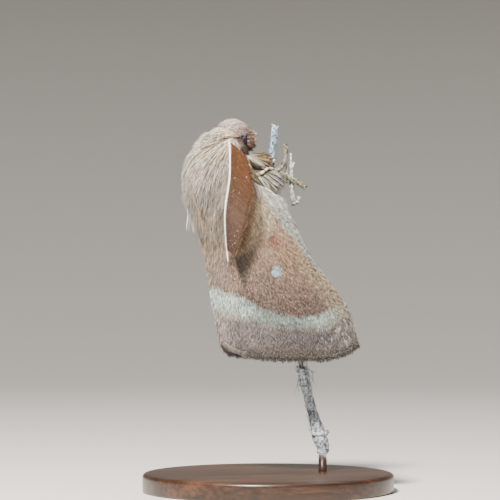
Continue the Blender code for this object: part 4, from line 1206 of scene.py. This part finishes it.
def makeAntenna(word, side):
    knots = antenna["path"]
    node = "antenna_" + word.lower()
    places = evenPlaces(knots, (0, 1), 90)
    ringed = 1 + 0.05 * np.cos(places * 66 * 2 * np.pi)
    radius = antenna["shaftRadius"] * np.interp(places, *np.array(antenna["taper"]).T) * ringed
    shaft = onSide(closedRings(tubeRings(curveAt(knots, places), radius, 10)), side)
    putMesh("antennaShaft" + word, *shaft, shaftFinish, "antenna", replaced=(node,))
    paths, outs, widths, tips = [], [], [], []
    count, steps = antenna["count"], 8
    places = evenPlaces(knots, antenna["span"], count)
    root = curveAt(knots, places)
    ahead = unitRows(curveAt(knots, places + 2e-3) - curveAt(knots, places - 2e-3))
    run = np.linspace(0, 1, steps + 1)[None, :, None]
    for way, longest, width, droop in antenna["rows"]:
        way = unitRows(np.array(way))
        isNear = way[1] > 0.5
        length = longest * np.interp(np.linspace(0, 1, count), antenna["spread"],
                                     antenna["nearLengths" if isNear else "farLengths"])
        length = length * draw.uniform(0.97, 1.03, count)
        ways = way + draw.normal(0, 0.005, (count, 3))
        body = root[:, None] + ways[:, None] * length[:, None, None] * run
        body[..., 2] -= (droop * run ** 2 * length[:, None, None] / longest)[..., 0]
        face = unitRows(np.cross(ahead, way))
        paths.append(body)
        outs.append(np.repeat(face[:, None], steps + 1, axis=1) * np.sign(face[:, 1])[:, None, None])
        widths.append(np.full(count, width) * draw.uniform(0.9, 1.05, count))
        tips.append(np.full(count, isNear))
    body, out, width, near = (np.concatenate(rows) for rows in (paths, outs, widths, tips))
    # every second branch is a little paler
    striped = 0.08 * np.where(np.arange(len(body)) % 2, 1, -1)[:, None]
    tone = np.exp(draw.normal(0.0, 0.07, (len(body), 1)) + striped)
    # both rows are one brown: the near row is taken darker as painted shade, since it faces the lamp, and the
    # far row paler as painted light, where the near row shades it
    tint = blend("#bd9c80", "#573822", near.astype(float)) * tone
    # the lower comb's grey is a painted sheen, standing for the haze of the branches' highlights
    low = np.tile(smoothStep(0.12, 0.75, np.linspace(0, 1, count)), 2)
    tint = mixRows(tint, hexColour("#5a4a41") * tone, low * 0.8)
    place = np.stack([np.tile(np.linspace(0.05, 0.95, count), 2), np.where(near, 0.25, 0.75)], axis=-1)
    putHair("antennaComb" + word, body, out, width, tint * 0.70, tint * 1.10, place, combFinish, "antenna",
            side=side, taper=0.22, belly=0.1, thickness=0.55, replaced=(node,))
    # fine cilia on both rows cross from each branch to the next, and roughen the comb
    picks = np.repeat(np.arange(len(body)), antenna["cilia"])
    base, step = alongRows(body, picks, draw.uniform(0.06, 0.97, len(picks)) * steps)
    along = unitRows(body[picks, step + 1] - body[picks, step])
    down = np.tile(ahead, (2, 1))[picks] * np.where(draw.uniform(0, 1, len(picks)) < 0.5, -1.0, 1.0)[:, None]
    length = draw.uniform(*antenna["ciliaLength"], len(picks))
    path, outs = straightPaths(base, unitRows(along * 0.8 + down), out[picks, 0], length,
                               draw.uniform(0.14, 0.22, len(picks)), 2)
    ciliaTint = tint[picks] * np.exp(draw.normal(0.10, 0.75, (len(picks), 1)))
    putTufts("antennaCilia" + word, path, outs, antenna["ciliaWidth"], ciliaTint, (0.8, 1.2), place[picks],
             combFinish, "antenna", limit=1.0, side=side)
    # short pale bristles edge the tips of the near row, and a row of them stands beside the shaft
    first = body[:count]
    picks = np.repeat(np.arange(count), antenna["bristles"])
    face = out[picks, 0]
    base, step = alongRows(first, picks, draw.uniform(0.86, 0.99, len(picks)) * steps)
    way = unitRows(first[picks, steps] - first[picks, steps - 2] + draw.normal(0, 0.25, (len(picks), 3)))
    length = draw.uniform(0.10, 0.28, len(picks))
    rimPath, rimOut = straightPaths(base, way, face, length, draw.uniform(0.01, 0.05, len(picks)), 2)
    start = first[picks, 1] - first[picks, 0]
    base = first[picks, 0] + start * draw.uniform(0.5, 0.85, (len(picks), 1))
    way = unitRows(start * (-0.6, -0.6, 0.8) + draw.normal(0, 0.05, (len(picks), 3)))
    length = draw.uniform(0.16, 0.24, len(picks))
    sawPath, sawOut = straightPaths(base, way, face, length, draw.uniform(0.03, 0.08, len(picks)), 2)
    bristleTint = np.concatenate([pickTints(len(picks), (("#c79c78", 0.6), ("#96684a", 0.4))),
                                  pickTints(len(picks), (("#eadbd0", 0.45), ("#62432f", 0.55)))])
    places = np.repeat(np.linspace(0.05, 0.95, count), antenna["bristles"])
    place = np.tile(np.stack([places, np.full(len(picks), 0.5)], axis=-1), (2, 1))
    putHair("antennaBristles" + word, np.concatenate([rimPath, sawPath]), np.concatenate([rimOut, sawOut]),
            np.repeat((0.055, 0.085), len(picks)), bristleTint * 0.8, bristleTint, place, scaleFinish,
            "antenna", side=side)
    # pale flecks on the comb, drawn as small loose scales: painted glints
    picks = draw.integers(2, count - 4, antenna["glintFlecks"])
    step = draw.integers(1, steps - 1, len(picks))
    base = first[picks, step] + out[picks, 0] * 0.07
    way = unitRows(draw.normal(0, 1, (len(picks), 3)) * (1, 0.3, 1))
    length = draw.uniform(0.10, 0.20, len(picks))
    path, outs = straightPaths(base, way, out[picks, 0], length, draw.uniform(0.03, 0.06, len(picks)), 2)
    putTufts("antennaGlintFlecks" + word, path, outs, antenna["glintFleckWidth"],
             pickTints(len(picks), (("#fff3e2", 0.6), ("#e6c9a8", 0.4))), (1.0, 1.0),
             np.stack([picks / count, step / steps], axis=-1), scaleFinish, "antenna", side=side)


print("stage: antennae")
for word, side in sides:
    makeAntenna(word, side)

# eyes

# chitin lenses: dark, with a blue-violet depth and one soft light
eyeFinish, tree, shader = startMaterial("glossyLensChitin", {"Roughness": 0.42, "IOR": 1.56,
                                                             "Specular IOR Level": 0.12})
place = objectPlace(tree)
depth = addNoise(tree, place, 0.7)
joinColour(tree, shader, addRamp(tree, depth, ((0.35, "#120c10"), (0.55, "#1f1720"), (0.72, "#2f2838"))))
# the lenses are 0.02 mm across, and drawn 0.07 mm across
joinBump(tree, shader, addCells(tree, place, 0.07), 0.5, 0.02)


# a ball on the head: rings from pole to pole
def makeEye(word, side):
    rise = np.linspace(-0.97, 0.97, 25)[:, None]
    turn = np.linspace(0, 2 * np.pi, 36, endpoint=False)
    wide = np.sqrt(1 - rise ** 2)
    middle = np.array(trunk["eyeMiddle"]) * (1, side, 1)
    radius = trunk["eyeRadius"]
    rings = np.stack([wide * np.cos(turn), wide * np.sin(turn), rise + 0 * turn], axis=-1) * radius + middle
    poles = (middle - (0, 0, radius), middle + (0, 0, radius))
    putMesh("eye" + word, *closedRings(rings, *poles), eyeFinish, "eye", replaced=("eye_" + word.lower(),))


for word, side in sides:
    makeEye(word, side)

# palps and legs

limbs = {
    "palpPath": ((-2.75, 0.58, 40.7), (-2.45, 0.60, 41.2), (-2.30, 0.60, 41.9), (-2.28, 0.60, 42.5),
                 (-2.18, 0.60, 42.95)),
    "palpRadii": (0.20, 0.24, 0.26, 0.24, 0.20), "palpCount": 1500,
    "palpLength": (0.50, 1.02), "palpWidth": (0.04, 0.075),
    "palpTufts": (0.8, 0.95, 0.85, 1.15, 0.9),      # how long each tuft is, from the lowest
    "palpFront": -1.45,                             # the hair ends here, in x
    # each leg's path from hip to ankle, then its foot with five joints
    "foreleg": ((-3.4, 1.50, 39.66), (-2.1, 1.75, 39.72), (-1.0, 1.60, 39.62), (-0.1, 1.0, 39.4)),
    "forelegFoot": ((-0.1, 1.0, 39.4), (0.22, 0.75, 39.28), (0.45, 0.50, 39.35), (0.72, 0.42, 39.6)),
    "midleg": ((-2.25, 1.40, 37.4), (-1.75, 2.10, 37.75), (-0.6, 2.05, 37.95), (0.25, 1.75, 38.15)),
    "midlegFoot": ((-2.0, 2.60, 37.78), (-1.43, 2.60, 38.15), (-0.86, 2.40, 38.48), (0.02, 1.75, 38.43),
                   (0.76, 1.00, 38.32), (1.17, 0.45, 38.45)),
    "hindleg": ((-2.05, 1.20, 35.0), (-1.05, 2.05, 35.5), (-0.35, 1.75, 34.8), (-0.05, 1.2, 34.0)),
    "hindlegFoot": ((-0.05, 1.2, 34.0), (0.05, 0.85, 33.5), (0.12, 0.62, 33.0), (0.25, 0.50, 32.5)),
    "legRadii": (0.34, 0.36, 0.28, 0.16), "legWidth": (0.06, 0.115),
}


# random places on a limb, for hair that is rooted a little under its surface
def limbSurface(knots, radii, count, span):
    return tubeSurface(knots, radii, count, span, 0.85, level=(0.0, 1.0, 0.001))[:4]


def makePalp(word, side):
    places = np.linspace(0, 1, 18)
    knots = np.array(limbs["palpPath"])
    radius = curveAt(np.array(limbs["palpRadii"])[:, None], places)[:, 0]
    form = onSide(closedRings(tubeRings(curveAt(knots, places), radius, 12, level=(0.0, 1.0, 0.2))), side)
    putMesh("palp" + word, *form, membraneFinish, "body_fur",
            tint=np.tile(hexColour("#4a3326"), (len(form[0]), 1)), replaced=("palp_" + word.lower(),))
    count = limbs["palpCount"]
    share, turn, root, out = limbSurface(knots, limbs["palpRadii"], count, (0.02, 1.0))
    # the hair gathers in a few tufts that point forwards, over shorter dark hair; a cream knob tops them
    lastTuft = len(limbs["palpTufts"]) - 1
    tuft = np.clip(np.round(share * lastTuft), 0, lastTuft)
    level = tuft / lastTuft
    top = smoothStep(0.86, 0.93, share)
    under = (draw.uniform(0, 1, count) < 0.45) & (top < 0.5)
    gather = ((level - share) * 1.5)[:, None] * upWay
    forward = np.array((1.0, 0.0, 0.0)) + np.array((0.0, 0.0, 0.45)) * (level - 0.4)[:, None]
    way = unitRows(forward * (1 - 0.7 * top)[:, None] + out * (0.30 + 0.5 * top)[:, None] + gather
                   + draw.normal(0, 0.15, (count, 3)))
    length = draw.uniform(*limbs["palpLength"], count) * (1 - 0.72 * top) * np.where(under, 0.62, 1.0)
    length *= np.interp(tuft, range(len(limbs["palpTufts"])), limbs["palpTufts"])
    reach = np.minimum(length, np.maximum(limbs["palpFront"] - root[:, 0], 0.2))
    hair, outs = straightPaths(root, way, out, reach, draw.uniform(0.02, 0.12, count), 3, sag=0.03)
    hair = gatherTips(hair, tuft * 10 + np.floor(draw.uniform(0, 3, count)), 0.55)
    tint = mixRows(pickTints(count, (("#ecdacb", 0.50), ("#bb9f8a", 0.30), ("#6b4a38", 0.20)), 0.15),
                   pickTints(count, (("#cbb798", 0.7), ("#a3896b", 0.3))), top)
    tint = np.where(under[:, None], hexColour("#3a261b") * draw.uniform(0.7, 1.5, (count, 1)), tint)
    # darker towards the palp's foot: painted shade low on the face
    tint = tint * (1 - 0.5 * smoothStep(0.30, 0.05, share)[:, None])
    putTufts("coatPalp" + word, hair, outs, limbs["palpWidth"], tint, (0.3, 1.05), limbUnwrap(turn, share),
             hairFinish, "body_fur", limit=1.0, side=side)


# a hair's place in the unwrap, by its turn and its share along a limb
def limbUnwrap(turn, share):
    return np.stack([0.05 + 0.9 * turn / 6.3, 0.05 + 0.9 * share], axis=-1)


# feet: five joints that swell and narrow, each a closed tube, with two hooked claws at the end
def makeFoot(knots):
    places = np.linspace(0, 1, 46)
    path = curveAt(knots, places)
    radius = 0.15 * (1 - 0.25 * places) * (0.72 + 0.42 * np.abs(np.sin(places * 5 * np.pi)) ** 0.7)
    tint = blend("#fff2d6", "#6a4c36", np.repeat(np.abs(np.cos(places * 5 * np.pi)) ** 6 * 0.9, 10))
    forms = [closedRings(tubeRings(path, radius, 10, level=(0.1, 0.9, 0.3)))]
    tints = [tint, np.tile(hexColour("#5a4030"), (2, 1))]
    ahead = unitRows(path[-1] - path[-3])
    # each claw's points, as steps ahead, to its own side and down
    hookSteps = ((0, 0, 0), (0.16, 0.10, 0), (0.28, 0.12, 0.08), (0.30, 0.10, 0.20))
    for turn in (-1.0, 1.0):
        knots = [path[-1] + ahead * far + sideWay * turn * wide - upWay * drop
                 for far, wide, drop in hookSteps]
        hook = curveAt(knots, np.linspace(0, 1, 8))
        forms.append(closedRings(tubeRings(hook, np.linspace(0.05, 0.012, 8), 6, level=(0.3, 0.2, 0.9))))
        tints.append(np.tile(hexColour("#3a241a"), (len(forms[-1][0]), 1)))
    return forms, np.vstack(tints)


# a leg's hair lies along it towards the foot and fans out below
def makeLeg(name, word, side, count, lie, splay, lengths, palette, drops, edges):
    knots, foot = np.array(limbs[name]), np.array(limbs[name + "Foot"])
    places = np.linspace(0, 1, 24)
    radius = curveAt(np.array(limbs["legRadii"])[:, None], places)[:, 0]
    form = closedRings(tubeRings(curveAt(knots, places), radius, 12, level=(0.1, 0.3, 0.95)))
    feet, footTint = makeFoot(foot)
    tint = np.vstack([np.tile(hexColour("#8d7c68"), (len(form[0]), 1)), footTint])
    putMesh(name + word, *onSide(joinForms([form] + feet), side), membraneFinish, "leg_fur", tint=tint,
            replaced=(name + "_" + word.lower(),))
    share, turn, root, out = limbSurface(knots, limbs["legRadii"], count, (0.0, 0.96))
    wave = patchWave(share * 9, turn * 2, 0.8, 61, 1)
    way = unitRows(np.array(lie) + out * np.array(splay) + wave * 0.16 + draw.normal(0, 0.07, (count, 3)))
    # hair ends by slanting lines, each given as (x, z, reach), and each tuft stops a little short of them
    tufts = np.floor(share * 13 + draw.uniform(-0.4, 0.4, count)) * 16 + np.floor(turn * 2.2)
    short = 0.93 + 0.09 * patchNoise(tufts * 0.37, tufts * 0.11, 0.1, 73)
    rooms = [(reach - root[:, 0] * x - root[:, 2] * z) / np.maximum(way @ (x, 0.0, z), 0.15)
             for x, z, reach in edges]
    room = np.min(rooms, axis=0)
    length = np.minimum(draw.uniform(*lengths, count) * (1 - 0.25 * share), np.maximum(room * short, 0.3))
    hair, outs = straightPaths(root, way, out, length, draw.uniform(0.04, 0.22, count), 3, sag=drops)
    hair = gatherTips(hair, tufts, 0.70)
    tint = pickTints(count, palette, 0.15)
    tint = tint * (1 + 0.18 * patchNoise(share * 12, turn * 3, 0.7, 67))[:, None]
    dark = smoothStep(0.25, 0.75, patchNoise(share * 5, turn, 0.8, 71))[:, None]
    putTufts("coat" + name.capitalize() + word, hair, outs, limbs["legWidth"], tint * (1 - 0.5 * dark),
             (0.40, 1.08), limbUnwrap(turn, share), hairFinish, "leg_fur", limit=1.0, side=side)


print("stage: palps and legs")
for word, side in sides:
    makePalp(word, side)
    makeLeg("foreleg", word, side, 1800, (1.0, -0.10, -0.28), (0.15, 0.22, 0.40), (1.2, 2.4),
            (("#ead4b2", 0.20), ("#a88b61", 0.32), ("#735634", 0.28), ("#372b1a", 0.20)), 0.04,
            ((1.0, 0.0, -0.15),))
    makeLeg("midleg", word, side, 2200, (0.76, -0.06, -0.62), (0.22, 0.25, 0.30), (2.2, 4.2),
            (("#fafbf7", 0.38), ("#cfd0c0", 0.12), ("#7f7650", 0.22), ("#2d271a", 0.28)), 0.10,
            ((0.817, 0.577, 22.47), (0.906, -0.423, -13.99)))
    makeLeg("hindleg", word, side, 700, (0.35, -0.2, -0.9), (0.3, 0.3, 0.2), (1.0, 1.8),
            (("#e4dccd", 0.4), ("#b9ad9b", 0.4), ("#85796a", 0.2)), 0.1, ((1.0, 0.0, 0.2),))

# perch

# dead stem with its bark weathered grey: matt, finely ribbed along, speckled with darker pits
barkFinish, tree, shader = startMaterial("weatheredBark", {"Roughness": 0.86, "Specular IOR Level": 0.3})
ribs = addNoise(tree, objectPlace(tree, Scale=(1.0, 1.0, 0.28)), 0.26, Detail=4.0, Roughness=0.65)
pits = addNoise(tree, objectPlace(tree), 0.30, Detail=1.5)
spots = addProduct(tree, meshTint(tree), addRange(tree, pits, (0.47, 0.60), (1.12, 0.36)))
joinColour(tree, shader, addProduct(tree, spots, addRange(tree, ribs, (0.3, 0.7), (0.68, 1.22))))
joinBump(tree, shader, ribs, 0.9, 0.10)

perch = {
    # paths from foot to tip with the half thickness at each point, how knobbly each is, how far
    # its end is splintered, and its tones
    "bark": (((7.0, 0.0, 4.35), (7.0, 0.0, 5.2), (6.55, 0.0, 6.6), (5.83, 0.0, 8.8), (5.15, 0.0, 11.2),
              (4.38, 0.0, 14.6)), (0.66, 0.74, 0.86, 0.64, 0.60, 0.66), 0.07, 0.50, ("#8f9aa6", "#c3ccd6")),
    # the inner stem is thinner; its darker tones are partly bare wood, partly painted shade under the wing
    "core": (((4.6, 0.0, 13.6), (4.2, 0.0, 15.1), (3.2, 0.0, 18.7), (1.85, 0.0, 23.2), (0.75, 0.0, 27.6),
              (0.12, 0.0, 31.8), (0.13, 0.0, 35.4), (0.36, 0.0, 38.5)),
             (0.30, 0.30, 0.40, 0.43, 0.43, 0.42, 0.42, 0.42), 0.04, 0.05, ("#6f6a62", "#9a958c")),
    "top": (((0.34, 0.0, 38.0), (0.36, 0.0, 38.5), (0.55, 0.0, 40.5), (0.90, 0.0, 43.6)),
            (0.40, 0.40, 0.40, 0.42), 0.14, 0.24, ("#8099b2", "#b0c8dd")),
    "twigUp": (((0.35, 0.0, 38.3), (1.1, -0.2, 38.35), (1.56, -0.25, 38.65), (1.95, -0.3, 39.5),
                (2.17, -0.3, 40.6), (2.13, -0.3, 41.35)),
               (0.28, 0.27, 0.24, 0.22, 0.27, 0.20), 0.26, 0.16, ("#746b60", "#9a9186")),
    "twigLow": (((0.35, 0.0, 38.3), (1.3, -0.3, 38.05), (2.6, -0.5, 37.4), (3.6, -0.65, 36.8),
                 (4.5, -0.8, 36.25)), (0.26, 0.24, 0.24, 0.27, 0.30), 0.28, 0.12, ("#6d6850", "#9c9780")),
    "twigBack": (((2.88, 0.0, 40.4), (2.92, 0.0, 39.4), (2.96, 0.0, 38.4), (3.01, 0.0, 37.2),
                  (3.1, 0.0, 35.6), (3.3, 0.0, 34.15)),
                 (0.12, 0.17, 0.21, 0.26, 0.31, 0.28), 0.16, 0.10, ("#969c9f", "#c6cbcc")),
    "prong": (((3.0, 0.0, 38.3), (3.15, 0.0, 38.9), (3.33, 0.0, 39.3)), (0.16, 0.14, 0.08), 0.08, 0.05,
              ("#b4b6b2", "#d8d9d4")),
    "hook": (((3.2, 0.0, 34.62), (3.62, 0.0, 34.52), (3.92, 0.0, 34.62), (3.96, 0.0, 35.2)),
             (0.20, 0.22, 0.20, 0.24), 0.20, 0.10, ("#a3a59f", "#d4d5ce")),
    "thinStem": (((2.36, 0.1, 39.2), (2.42, 0.1, 38.0), (2.50, 0.1, 36.8)), (0.10, 0.12, 0.10), 0.10, 0.03,
                 ("#a3a5a0", "#c6c7c0")),
    "budLeft": (((6.6, 0.0, 6.5), (5.9, -0.3, 6.75), (5.45, -0.4, 6.95)), (0.42, 0.34, 0.20), 0.08, 0.05,
                ("#b9c4cf", "#e6edf2")),
    "budRight": (((6.6, 0.0, 6.5), (7.2, -0.3, 6.8), (7.65, -0.4, 7.1)), (0.42, 0.34, 0.20), 0.08, 0.05,
                 ("#b9c4cf", "#e6edf2")),
    "budFront": (((6.6, 0.0, 6.5), (6.6, -0.6, 6.7), (6.6, -1.05, 6.95)), (0.40, 0.32, 0.22), 0.06, 0.03,
                 ("#c9ced4", "#f0eef0")),
}
# torn fibres that curl away from the break
perchFibres = (
    (((4.2, 0.0, 14.4), (3.9, -0.1, 13.6), (3.74, -0.1, 12.6), (3.95, -0.1, 11.5)), 9, 0.02),
    (((4.3, 0.1, 12.9), (4.0, 0.2, 12.5), (3.8, 0.2, 12.3)), 5, 0.02),
    (((5.0, 0.0, 14.6), (5.55, -0.1, 14.2), (5.72, -0.1, 13.4), (5.5, -0.1, 12.7)), 8, 0.02),
    (((5.5, 0.0, 14.3), (5.9, 0.1, 14.15), (6.2, 0.1, 13.9)), 5, 0.02))
fibreTones = (("#9aa4ad", 0.5), ("#c9d0d6", 0.5))
# lifted bark: stem, count, where along it, lengths, widths, rise, and 1 if it lifts towards the tip
barkSets = (
    ("bark", 70, (0.10, 0.97), (0.5, 1.3), (0.08, 0.2), (0.04, 0.16), 1.0),
    ("bark", 26, (0.93, 1.0), (0.6, 1.3), (0.08, 0.18), (0.02, 0.35), 1.0),
    ("bark", 9, (0.95, 0.99), (1.2, 2.6), (0.07, 0.12), (0.35, 0.75), -1.0),
    ("top", 60, (0.05, 0.95), (0.3, 0.8), (0.07, 0.16), (0.04, 0.16), 1.0),
    ("twigUp", 24, (0.2, 0.98), (0.25, 0.5), (0.05, 0.1), (0.03, 0.12), 1.0),
    ("twigLow", 24, (0.2, 0.98), (0.25, 0.5), (0.05, 0.1), (0.03, 0.12), 1.0),
    ("core", 50, (0.05, 0.95), (0.5, 1.2), (0.06, 0.12), (0.02, 0.08), 1.0))


# a piece of stem: a tube whose radius wanders, ending in uneven splinters
def stemForm(knots, radii, knobs, splinter, tones, seed):
    length = np.linalg.norm(np.diff(knots, axis=0), axis=1).sum()
    rows, sides = int(max(14, length / 0.16)), 22
    places = np.linspace(0, 1, rows)
    path = curveAt(knots, places)
    turn = np.linspace(0, 2 * np.pi, sides, endpoint=False)
    row, column = np.meshgrid(places * length, turn, indexing="ij")
    rough = (patchNoise(np.cos(column) * 2 + 9, row + np.sin(column), 0.8, seed)
             + 0.7 * patchNoise(np.cos(column) * 3 + 5, row * 1.3 + np.sin(column) * 3, 0.35, seed + 1)
             + 0.5 * patchNoise(column * 3.5, row * 0.4, 1.0, seed + 2))
    radius = curveAt(np.array(radii)[:, None], places)[:, :1] * (1 + knobs * rough)
    rings = tubeRings(path, radius, sides)
    ahead = unitRows(path[-1] - path[-2])
    # the break is highest on its left, lower on its right, and notched between
    shard = 0.75 * np.cos(turn) ** 2 + 0.25 * np.cos(turn) + 0.16 * np.sin(turn * 5 + seed)
    for k, part in ((1, 1.0), (2, 0.6), (3, 0.25)):
        rings[-k] += ahead * (splinter * part * shard)[:, None]
    points, quads, triangles = closedRings(rings, lastEnd=rings[-3].mean(0))
    tint = blend(*tones, np.clip(0.5 + 0.5 * rough, 0, 1).ravel())
    tint = np.vstack([tint, hexColour(tones[0]) * 0.7, hexColour("#8d7a62")])
    return points, quads, triangles, tint


# bark that has lifted: thin strips on a stem's surface that rise from it at one end
def barkStrips(key, count, span, lengths, widths, rise, up):
    knots, radii, tones = np.array(perch[key][0]), perch[key][1], perch[key][4]
    root, out, ahead = tubeSurface(knots, radii, count, span, 0.97)[2:]
    way = unitRows(ahead * up + draw.normal(0, 0.10, (count, 3)))
    length = draw.uniform(*lengths, count)
    path, outs = straightPaths(root, way, out, length, draw.uniform(*rise, count), 4)
    width = draw.uniform(*widths, count)
    return path, outs, width, blend(*tones, draw.uniform(0, 1, count))


def makePerch():
    forms, tints, seed = [], [], 100
    for knots, radii, knobs, splinter, tones in perch.values():
        points, quads, triangles, tint = stemForm(np.array(knots), radii, knobs, splinter, tones, seed)
        forms.append((points, quads, triangles))
        tints.append(tint)
        seed += 5
    putMesh("perch", *joinForms(forms), barkFinish, "dry_stem", tint=np.vstack(tints), replaced=("perch",))
    path, outs, width, tint = (np.concatenate(rows) for rows in zip(*(barkStrips(*row) for row in barkSets)))
    putHair("perchBarkStrips", path, outs, width, tint * 0.8, tint, np.linspace((0, 0), (1, 1), len(width)),
            barkFinish, "dry_stem", thickness=0.22, taper=0.3)


print("stage: perch")
makePerch()
makeStrands("perchFibres", perchFibres, fibreTones, (0.0, -1.0, 0.1), "dry_stem", 1.0)

# stand

# turned beech stained dark under satin varnish: fine grain lines and a soft even shine
woodFinish, tree, shader = startMaterial("stainedBeech", {"Roughness": 0.36, "Coat Weight": 0.25,
                                                          "Coat Roughness": 0.22})
place = objectPlace(tree, Scale=(0.10, 1.0, 1.0), Rotation=(0.0, 0.0, 0.35))
# beech pores are 0.1 mm wide, and drawn about 0.3 mm wide
grain = addNoise(tree, place, 0.45, Detail=5.0, Roughness=0.6, Distortion=0.4)
growth = addNoise(tree, place, 3.0, Detail=2.0)
both = addNode(tree, "ShaderNodeMath", {0: grain, 1: growth}, operation="ADD").outputs["Value"]
half = addNode(tree, "ShaderNodeMath", {0: both, 1: 0.5}, operation="MULTIPLY").outputs["Value"]
joinColour(tree, shader, addRamp(tree, half, ((0.36, "#1d120c"), (0.5, "#3a251a"), (0.64, "#5a3d2b"))))
joinBump(tree, shader, grain, 0.12, 0.05)

# brushed steel: fine lines round the rod that draw the highlight out along it
steelFinish, tree, shader = startMaterial("brushedSteel", {
    "Metallic": 1.0, "Roughness": 0.3, "Anisotropic": 0.4, "Base Color": (*hexColour("#c9c8c6"), 1.0)})
joinBump(tree, shader, addNoise(tree, objectPlace(tree, Scale=(0.15, 0.15, 1.0)), 0.06), 0.25, 0.01)


# a turned form round a line parallel to Z: rings of a profile of (radius, height)
def turnedForm(profile, middle, sides):
    turn = np.linspace(0, 2 * np.pi, sides, endpoint=False)
    profile = np.asarray(profile, float)
    rings = np.stack([middle[0] + profile[:, :1] * np.cos(turn), middle[1] + profile[:, :1] * np.sin(turn),
                      profile[:, 1:] + 0 * turn], axis=-1)
    return closedRings(rings)


# an edge rounded by a quarter circle: outer radius, height of the circle's middle, the circle's
# radius, and whether it rounds the top or the foot
def roundedEdge(reach, level, bend, up):
    angle = np.linspace(0, np.pi / 2, 7) if up else np.linspace(-np.pi / 2, 0, 7)
    return np.stack([reach - bend + bend * np.cos(angle), level + bend * np.sin(angle)], axis=-1)


print("stage: stand")
stand = {"baseRadius": 15.0, "baseHeight": 2.2, "edge": 0.45, "rodRadius": 0.5, "rodPlace": (7.0, 0.0),
         "rodTop": 4.6, "rodFoot": 2.2}
low, top = stand["edge"] * 0.6, stand["edge"]
baseProfile = np.vstack([[14.0, 0.0], roundedEdge(stand["baseRadius"], low, low, False),
                         roundedEdge(stand["baseRadius"], stand["baseHeight"] - top, top, True),
                         [12.0, stand["baseHeight"]], [6.0, stand["baseHeight"]], [1.0, stand["baseHeight"]]])
putMesh("standBase", *turnedForm(baseProfile, (0.0, 0.0), 160), woodFinish, "stand_wood",
        replaced=("stand_base",))
rodProfile = np.vstack([[0.2, stand["rodFoot"] - 0.1], [stand["rodRadius"], stand["rodFoot"] - 0.1],
                        roundedEdge(stand["rodRadius"], stand["rodTop"] - 0.1, 0.1, True),
                        [0.2, stand["rodTop"]]])
putMesh("standRod", *turnedForm(rodProfile, stand["rodPlace"], 40), steelFinish, "stand_steel",
        replaced=("stand_rod",))

print("stage: floor, camera and light")

bpy.context.view_layer.update()
floorForm = {"flat": 250.0, "reach": 360.0, "rise": 300.0, "sides": 96, "paleTo": 260.0}
# flat in the middle, then a quarter of an ellipse up to the rim
bend = np.linspace(0, np.pi / 2, 30)
reach = np.concatenate([[20.0, 120.0], floorForm["flat"] + floorForm["reach"] * np.sin(bend)])
rise = np.concatenate([[0.0, 0.0], floorForm["rise"] * (1 - np.cos(bend))])
turn = np.linspace(0, 2 * np.pi, floorForm["sides"], endpoint=False)
rings = np.stack([reach[:, None] * np.cos(turn), reach[:, None] * np.sin(turn), rise[:, None] + 0 * turn],
                 axis=-1)
points, quads, triangles = closedRings(rings)
floorMesh = bpy.data.meshes.new("floor")
floorMesh.from_pydata((points * mm).tolist(), [], quads.tolist() + triangles[:floorForm["sides"]].tolist())
floorMesh.shade_smooth()
# matt backdrop paper: pale under the model, and a quiet light grey where it rises round it
paper, tree, shader = startMaterial("matteBackdropPaper", {"Roughness": 0.9, "Specular IOR Level": 0.2})
place = objectPlace(tree)
height = addNode(tree, "ShaderNodeSeparateXYZ", {"Vector": place}).outputs["Z"]
height = addRange(tree, height, (0.0, floorForm["paleTo"] * mm), (0.0, 1.0), interpolation_type="SMOOTHSTEP")
joinColour(tree, shader, addRamp(tree, height, ((0.0, "#e4e1dc"), (0.5, "#b3b1ad"), (1.0, "#9b9a98"))))
joinBump(tree, shader, addNoise(tree, place, 1.2), 0.05, 0.05)
floorMesh.materials.append(paper)
floor = bpy.data.objects.new("floor", floorMesh)
bpy.context.scene.collection.objects.link(floor)

view = {"lens": 193.5, "distance": 320.0, "aim": (-2.3, 0.0, 28.8), "turn": -20.0}
turnView = math.radians(view["turn"])
look = np.array((-math.sin(turnView), math.cos(turnView), 0.0))
right = np.array((math.cos(turnView), math.sin(turnView), 0.0))
aim = np.array(view["aim"])
cameraData = bpy.data.cameras.new("camera")
cameraData.lens = view["lens"]
cameraData.clip_start = 0.01
camera = bpy.data.objects.new("camera", cameraData)
camera.location = (aim - look * view["distance"]) * mm
camera.rotation_euler = (math.pi / 2, 0, turnView)
bpy.context.scene.collection.objects.link(camera)
bpy.context.scene.camera = camera

# each light's place in mm (right of the aim, towards the camera, up), its size, power and colour
lights = {"key": ((-58, 165, 178), 32, 2.42, "#fff8ee"), "top": ((40, -120, 320), 260, 0.50, "#ffffff")}
surround = {"colour": "#f2f3f5", "strength": 0.11}


def addLight(name, place, size, power, colour):
    data = bpy.data.lights.new(name, "AREA")
    data.size = size * mm
    data.energy = power
    data.color = tuple(hexColour(colour))
    lamp = bpy.data.objects.new(name, data)
    position = aim + right * place[0] - look * place[1] + np.array((0, 0, place[2]))
    lamp.location = position * mm
    lamp.rotation_euler = Vector((aim + (0, 0, 4)) - position).to_track_quat("-Z", "Y").to_euler()
    bpy.context.scene.collection.objects.link(lamp)


for name, settings in lights.items():
    addLight(name, *settings)
world = bpy.data.worlds.new("studio")
world.use_nodes = True
background = world.node_tree.nodes["Background"]
background.inputs["Color"].default_value = (*hexColour(surround["colour"]), 1.0)
background.inputs["Strength"].default_value = surround["strength"]
bpy.context.scene.world = world
